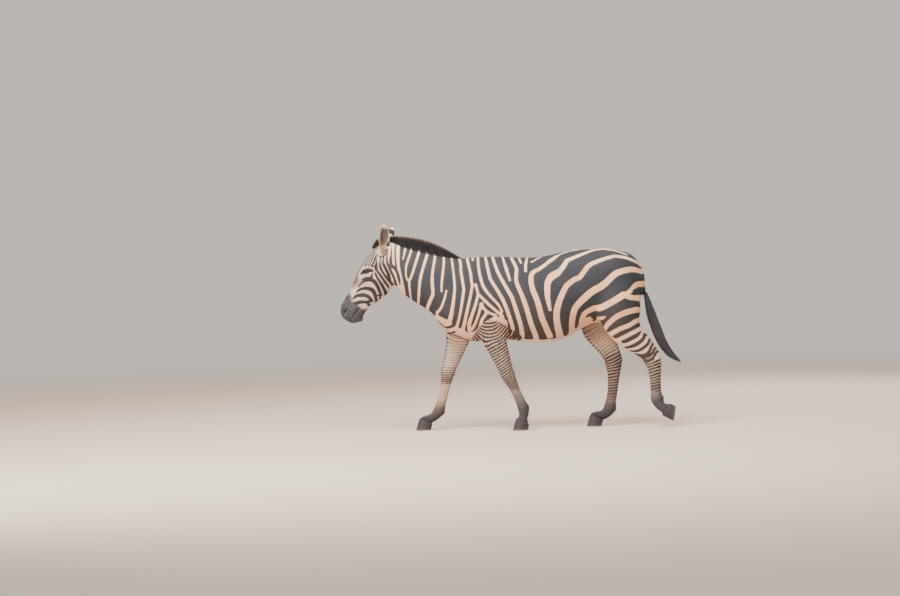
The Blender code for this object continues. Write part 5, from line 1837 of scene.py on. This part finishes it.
def bare_places(points):
    """Whether each point is where no hair grows: in the hooves and the openings of the eyes."""
    bare = np.zeros(len(points), bool)
    for name in HOOVES:
        spot, up = coronet_of(name)
        near = np.linalg.norm(points - spot, axis=1) < 0.12
        bare |= near & ((points - spot) @ up < 0.002)
    for _, side in SIDES:
        axes = np.array(eye_axes(side))
        rel = (points - np.array(eye_place(side))) @ axes.T
        height = np.where(rel[:, 1] > 0, EYE_UPPER, EYE_LOWER) * 1.12
        opening = (rel[:, 0] / (EYE_HALF * 1.12)) ** 2 + (rel[:, 1] / height) ** 2 < 1
        bare |= opening & (rel[:, 2] > -0.01) & (rel[:, 2] < 0.03)
    return bare


def make_short_coat(marks):
    """The short coat as tufts that lie along the skin, in pieces by region and side."""
    dice = np.random.default_rng(SEEDS["coat"])
    local = face_lines(skin_points)[0]
    length, half = coat_sizes(skin_points, local, ear_chart(skin_points, skin_normals))
    chance = 1 / (length * half) * ~bare_places(skin_points)
    corners, shares = sow(chance, TUFTS, dice)
    points = at_roots(skin_points, corners, shares)
    normals = unit(at_roots(skin_normals, corners, shares))
    keep = ~bare_places(points)
    corners, shares, points, normals = (rows[keep] for rows in (corners, shares, points, normals))
    count = len(points)
    limb, way_down, _, reach, turn = limb_chart(points)
    local = face_lines(points)[0]
    ears = ear_chart(points, normals)
    length, half = coat_sizes(points, local, ears)
    lie = coat_lie(points, normals, (limb, way_down, local, ears))
    sway = dice.normal(0, 0.17, count)[:, None]
    lie = unit(lie + np.cross(normals, lie) * sway)
    edge = at_roots(np.minimum(np.abs(marks["mark"]), 0.03), corners, shares)
    short = 0.46 + 0.54 * smoothstep(edge, 0.001, 0.010)
    length = length * dice.uniform(0.72, 1.25, count) * short
    lift = dice.uniform(0.06, 0.13, count) * length
    tips = points + lie * length[:, None] + normals * lift[:, None]
    centres = np.stack((points - normals * 0.0004, tips), axis=1)
    widths = np.stack((half, half * 0), axis=1)
    region = coat_region(points, limb, local, reach)
    places = unwrapped(points, region, way_down, turn, local, ears)
    numbers = {key: at_roots(marks[key], corners, shares) for key in MARK_NUMBERS}
    numbers["tone"] = dice.random(count)
    colours = {key: at_roots(marks[key], corners, shares) for key in MARK_COLOURS}
    material = coat_shader("short_striped_tufts", True)
    for k, name in enumerate(COAT_PIECES):
        mine = region == k
        some = {key: rows[mine] for key, rows in numbers.items()}
        hues = {key: rows[mine] for key, rows in colours.items()}
        mesh = strand_mesh(name, centres[mine], normals[mine], widths[mine], TUFT_FORM,
                           places[mine], some, hues)
        publish(mesh, name, "coat", material)


def hair_shader(name, banded=False):
    """Long hair that changes from its root's tint to its tip's; banded, with pale roots."""
    root, tip, start = HAIR_TINTS[name]
    shader = Shader(name, Roughness=0.62, Specular_IOR_Level=0.30)
    along_it = shader.number("along")
    fine = shader.grain(shader.place((1.0, 1.0, 0.4)), 160.0, 2.0)
    turn = (along_it + fine * 0.30 - 0.15).ramp(start, 1.0)
    colour = shader.mix(turn, tint(root), tint(tip))
    if banded:
        band = 1.0 - (along_it + fine * 0.24).ramp(0.06, 0.40)
        colour = shader.mix(band * shader.number("pale"), colour, tint((222, 196, 172)))
    shader.feed("Base Color", shader.lit(colour, 0.70 + shader.number("tone") * 0.60))
    return shader.material


def bowed(roots, tips, bow, levels):
    """Points down strands from root to tip, bent by the bow at their middle."""
    t = np.linspace(0, 1, levels)[None, :, None]
    bend = 4 * t * (1 - t)
    return roots[:, None] * (1 - t) + tips[:, None] * t + bow[:, None] * bend


def tapered(widths, levels, blunt=1.5):
    """Half widths down strands, thinner towards the tip."""
    t = np.linspace(0, 1, levels)
    return widths[:, None] * (1 - t ** blunt)[None]


def crest_rows(stations, steps):
    """The crest's stations with eased rows between: top, foot and half width of each."""
    return eased([(*top, *bottom, half) for top, bottom, half in stations], steps)


def make_crest(name, stations, count, material, node):
    """Upright hair along the crest, as locks from the skin to the top edge."""
    dice = np.random.default_rng(SEEDS[name])
    rows = crest_rows(stations, 6)
    place = dice.random(count)
    top_x, top_z, low_x, low_z, half = rows_at(place, np.linspace(0, 1, len(rows)), rows).T
    aside = dice.uniform(-1, 1, count)
    y = aside * half * 0.80
    roots = np.column_stack((low_x, y, low_z))
    marks = np.full(count, -0.01)
    for i, spot in enumerate(roots):
        top = Vector((top_x[i], y[i], top_z[i] + 0.05))
        way = (Vector(spot) - top).normalized()
        hit, _, face, _ = skin_tree.ray_cast(top, way)
        if hit is not None:
            roots[i] = hit + way * 0.004
            marks[i] = skin_marks["mark"][skin_mesh.polygons[face].vertices[0]]
    height = 1 - 0.16 * aside ** 2 - dice.random(count) ** 3 * 0.22
    edge = np.column_stack((top_x, y * 0.75, top_z))
    tips = roots + (edge - roots) * height[:, None]
    tips += dice.normal(0, 0.0045, (count, 3)) * (1.0, 0.8, 0.3)
    bow = np.column_stack((dice.normal(0, 0.003, count), aside * 0.003, np.zeros(count)))
    centres = bowed(roots, tips, bow, 5)
    widths = tapered(dice.uniform(*MANE_WIDTHS, count), 5)
    outward = np.where(aside < 0, -1.0, 1.0)
    fronts = np.column_stack((dice.normal(0, 0.4, count), outward, np.full(count, 0.1)))
    places = on_map(place, (aside + 1) / 2)
    numbers = {"tone": dice.random(count), "pale": smoothstep(marks, 0.0005, 0.007)}
    mesh = strand_mesh(name, centres, fronts, widths, LOCK_FORM, places, numbers, {})
    publish(mesh, name, "long_hair", material, node)


def make_switch(material):
    """The long hair of the tail, from the lower dock back and down to one point."""
    dice = np.random.default_rng(SEEDS["tail_hair"])
    fine = eased(TAIL, 12)
    run = run_along(fine[:, :2])
    start = run[np.argmin(np.abs(fine[:, 1] - SWITCH_TOP))]
    begin = start + (run[-1] - start) * 0.80 * dice.random(TAIL_LOCKS) ** 1.5
    reach = dice.uniform(0.20, 0.34, TAIL_LOCKS)
    stop = np.minimum(begin + reach, run[-1] - dice.random(TAIL_LOCKS) ** 2 * 0.05)
    turn = dice.uniform(0, 2 * math.pi, TAIL_LOCKS)[:, None]
    t = np.linspace(0, 1, 7)
    ways = begin[:, None] + (stop - begin)[:, None] * t
    x, z, deep, wide = (np.interp(ways, run, column) for column in fine.T)
    slope = unit(np.gradient(fine[:, :2], axis=0))
    way_x, way_z = (np.interp(ways, run, column) for column in slope.T)
    full = 0.80 + 0.34 * np.sin(np.minimum(t * 1.6, 1) * math.pi / 2)
    full = full * dice.uniform(0.72, 1.04, TAIL_LOCKS)[:, None]
    full = full * (1 + 0.32 * smoothstep(z, 0.76, 0.90) * (1 - smoothstep(z, 0.95, 1.02)))
    deep = deep * full * np.cos(turn)
    wide = wide * full * np.sin(turn)
    centres = np.stack((x - way_z * deep, wide, z + way_x * deep), axis=2)
    centres[:, 1:] += dice.normal(0, 0.0012, (TAIL_LOCKS, 6, 3))
    outward = np.cos(turn)
    fronts = np.column_stack((-way_z[:, :1] * outward, np.sin(turn), way_x[:, :1] * outward))
    widths = tapered(dice.uniform(*TAIL_WIDTHS, TAIL_LOCKS), 7, 2.5)
    places = on_map(begin / run[-1], turn[:, 0] / (2 * math.pi))
    numbers = {"tone": dice.random(TAIL_LOCKS)}
    mesh = strand_mesh("tail_hair", centres, fronts, widths, LOCK_FORM, places, numbers, {})
    publish(mesh, "tail_hair", "long_hair", material, "tail_switch")
    core = eased(TAIL, 4) * (1, 1, TAIL_CORE, TAIL_CORE)
    bm = lofting_bmesh()
    loft(bm, tail_sections(core[core[:, 1] < 0.99]), 20)
    publish_core(bm, "tail_core", material)


def publish_core(bm, name, material):
    """The dense inner mass of long hair, which its locks cover."""
    mesh = mesh_from(bm, name)
    ones = np.ones(len(mesh.vertices))
    write_numbers(mesh, {"along": ones * 0.1, "tone": ones * 0.1, "pale": ones * 0})
    publish(mesh, name, "long_hair", material)


def make_crest_core(name, stations, material):
    """The dense inner mass of the upright hair."""
    sections = []
    for top_x, top_z, low_x, low_z, half in crest_rows(stations, 5):
        bottom = Vector((low_x, 0, low_z))
        top = bottom.lerp(Vector((top_x, 0, top_z)), 0.80)
        sections.append(section(top, bottom, half * 0.62, 0.40, 2.2, 2.4))
    bm = lofting_bmesh()
    loft(bm, sections, 16)
    publish_core(bm, name, material)


def fringe(name, points, normals, ways, length, half, places, material):
    """Loose single hairs from the points, bent over towards the ways."""
    dice = np.random.default_rng(SEEDS[name])
    count = len(points)
    ways = unit(ways + dice.normal(0, 0.14, (count, 3)))
    length = length * dice.uniform(0.6, 1.15, count)
    tips = points + ways * length[:, None]
    centres = bowed(points - normals * 0.001, tips, normals * length[:, None] * 0.10, 4)
    widths = tapered(half * dice.uniform(0.7, 1.2, count), 4)
    numbers = {"tone": dice.random(count)}
    mesh = strand_mesh(name, centres, normals, widths, HAIR_FORM, places, numbers, {})
    publish(mesh, name, "long_hair", material)


def scattered(chosen, count, name):
    """Roots at random on the chosen part of the skin, for the named hair."""
    dice = np.random.default_rng(SOWING_SEEDS[name])
    corners, shares = sow(chosen.astype(float) + 1e-9, count, dice)
    points = at_roots(skin_points, corners, shares)
    return points, unit(at_roots(skin_normals, corners, shares))


def make_ear_hair(pale):
    """Long pale hair inside the ears, along their rims and at their foot."""
    level, inside, which, rim = ear_chart(skin_points, skin_normals)
    for k, (word, _) in enumerate(SIDES):
        name = "ear_hair_" + word
        up, opening = (np.array(way) for way in ear_axes(word)[1:3])
        edge = (which == k) & (level > 0.18) & (level < 0.93) & (inside > 0.5) & (rim > 0.66)
        points, normals = scattered(edge, EAR_HAIRS, name)
        chart = ear_chart(points, normals)
        ways = normals * 0.45 + up * 0.75 + opening * 0.10
        length = np.interp(chart[0], (0.1, 0.4, 0.9), (0.026, 0.020, 0.010))
        places = on_map(chart[3] * 0.8, np.clip(chart[0], 0, 1))
        fringe(name, points, normals, ways, length, 0.0005, places, pale)


def make_foot_hair(slate):
    """Longer hair behind the fetlocks and over the tops of the hooves."""
    limb, _, ahead, _, _ = limb_chart(skin_points)
    chosen = {name: np.zeros(len(skin_points), bool) for name in FOOT_HAIR}
    for k, (name, joints) in enumerate(LEGS.items()):
        fetlock = np.linalg.norm(skin_points - np.array(joints[-2]), axis=1)
        chosen["fetlock_hair"] |= (limb == k) & (fetlock < 0.062) & (ahead < -0.016)
        spot, up = coronet_of(name)
        rise = (skin_points - spot) @ up
        near = np.linalg.norm(skin_points - spot, axis=1) < 0.09
        chosen["coronet_hair"] |= near & (rise > 0) & (rise < 0.017)
    for name, (count, length) in FOOT_HAIR.items():
        points, normals = scattered(chosen[name], count, name)
        limb, way_down, _, _, turn = limb_chart(points)
        charts = (limb, way_down, face_lines(points)[0], ear_chart(points, normals))
        ways = coat_lie(points, normals, charts) + normals * 0.12
        places = on_map(way_down / LEG_RUN, (limb + turn / 6.3 + 0.5) / 4)
        fringe(name, points, normals, ways, length, 0.0006, places, slate)


def make_chin_hair(dark):
    """Sparse feelers on the chin and the lips."""
    local = face_lines(skin_points)[0]
    chin = (local[:, 0] > 0.53) & (local[:, 1] < -0.05) & (skin_points[:, 0] < -1.0)
    points, normals = scattered(chin, CHIN_HAIRS, "chin_hair")
    local = face_lines(points)[0]
    ways = normals + np.array(head_axes()[0]) * 0.5 + (0, 0, -0.4)
    places = on_map(local[:, 0] / HEAD_RUN, 0.5 + local[:, 2] * 4)
    fringe("chin_hair", points, normals, ways, 0.016, 0.00035, places, dark)


def make_lashes(dark):
    """Eyelashes of the upper lids, out and down."""
    turns = np.linspace(0.12 * math.pi, 0.92 * math.pi, LASHES)
    local = np.array([(*almond(turn), 0.0) for turn in turns])
    local[:, 2] = np.sqrt((EYE_RADIUS + LID) ** 2 - (local ** 2).sum(axis=1))
    places = on_map(turns / math.pi, np.full(LASHES, 0.5))
    for word, side in SIDES:
        axes = np.array(eye_axes(side))
        points = local @ axes + np.array(eye_place(side))
        normals = unit(local @ axes)
        ways = axes[2] - axes[1] * 0.10 + axes[0] * local[:, :1] * 18
        fringe("lashes_" + word, points, normals, ways, 0.013, 0.00035, places, dark)


def make_long_hair():
    """Mane, forelock, tail and the longer hair of ears, feet, chin and lids."""
    mane = hair_shader("mane_hair", True)
    make_crest("mane_hair", MANE, MANE_LOCKS, mane, "mane")
    make_crest("forelock_hair", FORELOCK, FORELOCK_LOCKS, mane, "forelock")
    make_crest_core("mane_core", MANE, mane)
    make_crest_core("forelock_core", FORELOCK, mane)
    make_switch(hair_shader("tail_hair"))
    dark = hair_shader("dark_fine_hair")
    make_ear_hair(hair_shader("pale_fine_hair"))
    make_foot_hair(hair_shader("foot_hair"))
    make_chin_hair(dark)
    make_lashes(dark)


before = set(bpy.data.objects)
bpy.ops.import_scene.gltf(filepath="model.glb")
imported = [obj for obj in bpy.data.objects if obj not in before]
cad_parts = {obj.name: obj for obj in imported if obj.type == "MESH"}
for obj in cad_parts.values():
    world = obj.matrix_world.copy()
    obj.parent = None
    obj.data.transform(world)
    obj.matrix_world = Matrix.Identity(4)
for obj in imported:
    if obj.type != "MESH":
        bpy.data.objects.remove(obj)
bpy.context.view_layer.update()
eye_low, eye_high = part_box("eye_left")
SHIFT = (eye_low + eye_high) / 2 - eye_place(-1)

skin_mesh = make_skin()
skin_tree = BVHTree.FromPolygons([v.co for v in skin_mesh.vertices],
                                 [p.vertices for p in skin_mesh.polygons])
skin_points, skin_normals = points_and_normals(skin_mesh)
skin_marks = coat_marks(skin_points, skin_normals, skin_tree)
write_numbers(skin_mesh, {key: skin_marks[key] for key in MARK_NUMBERS})
write_colours(skin_mesh, {key: skin_marks[key] for key in MARK_COLOURS})
skin_mesh.materials.clear()
publish(skin_mesh, "zebra_skin", "coat", coat_shader("short_striped_coat", False), *FLESH_NODES)
make_eyes()
make_hooves()
make_short_coat(skin_marks)
make_long_hair()
set_studio()
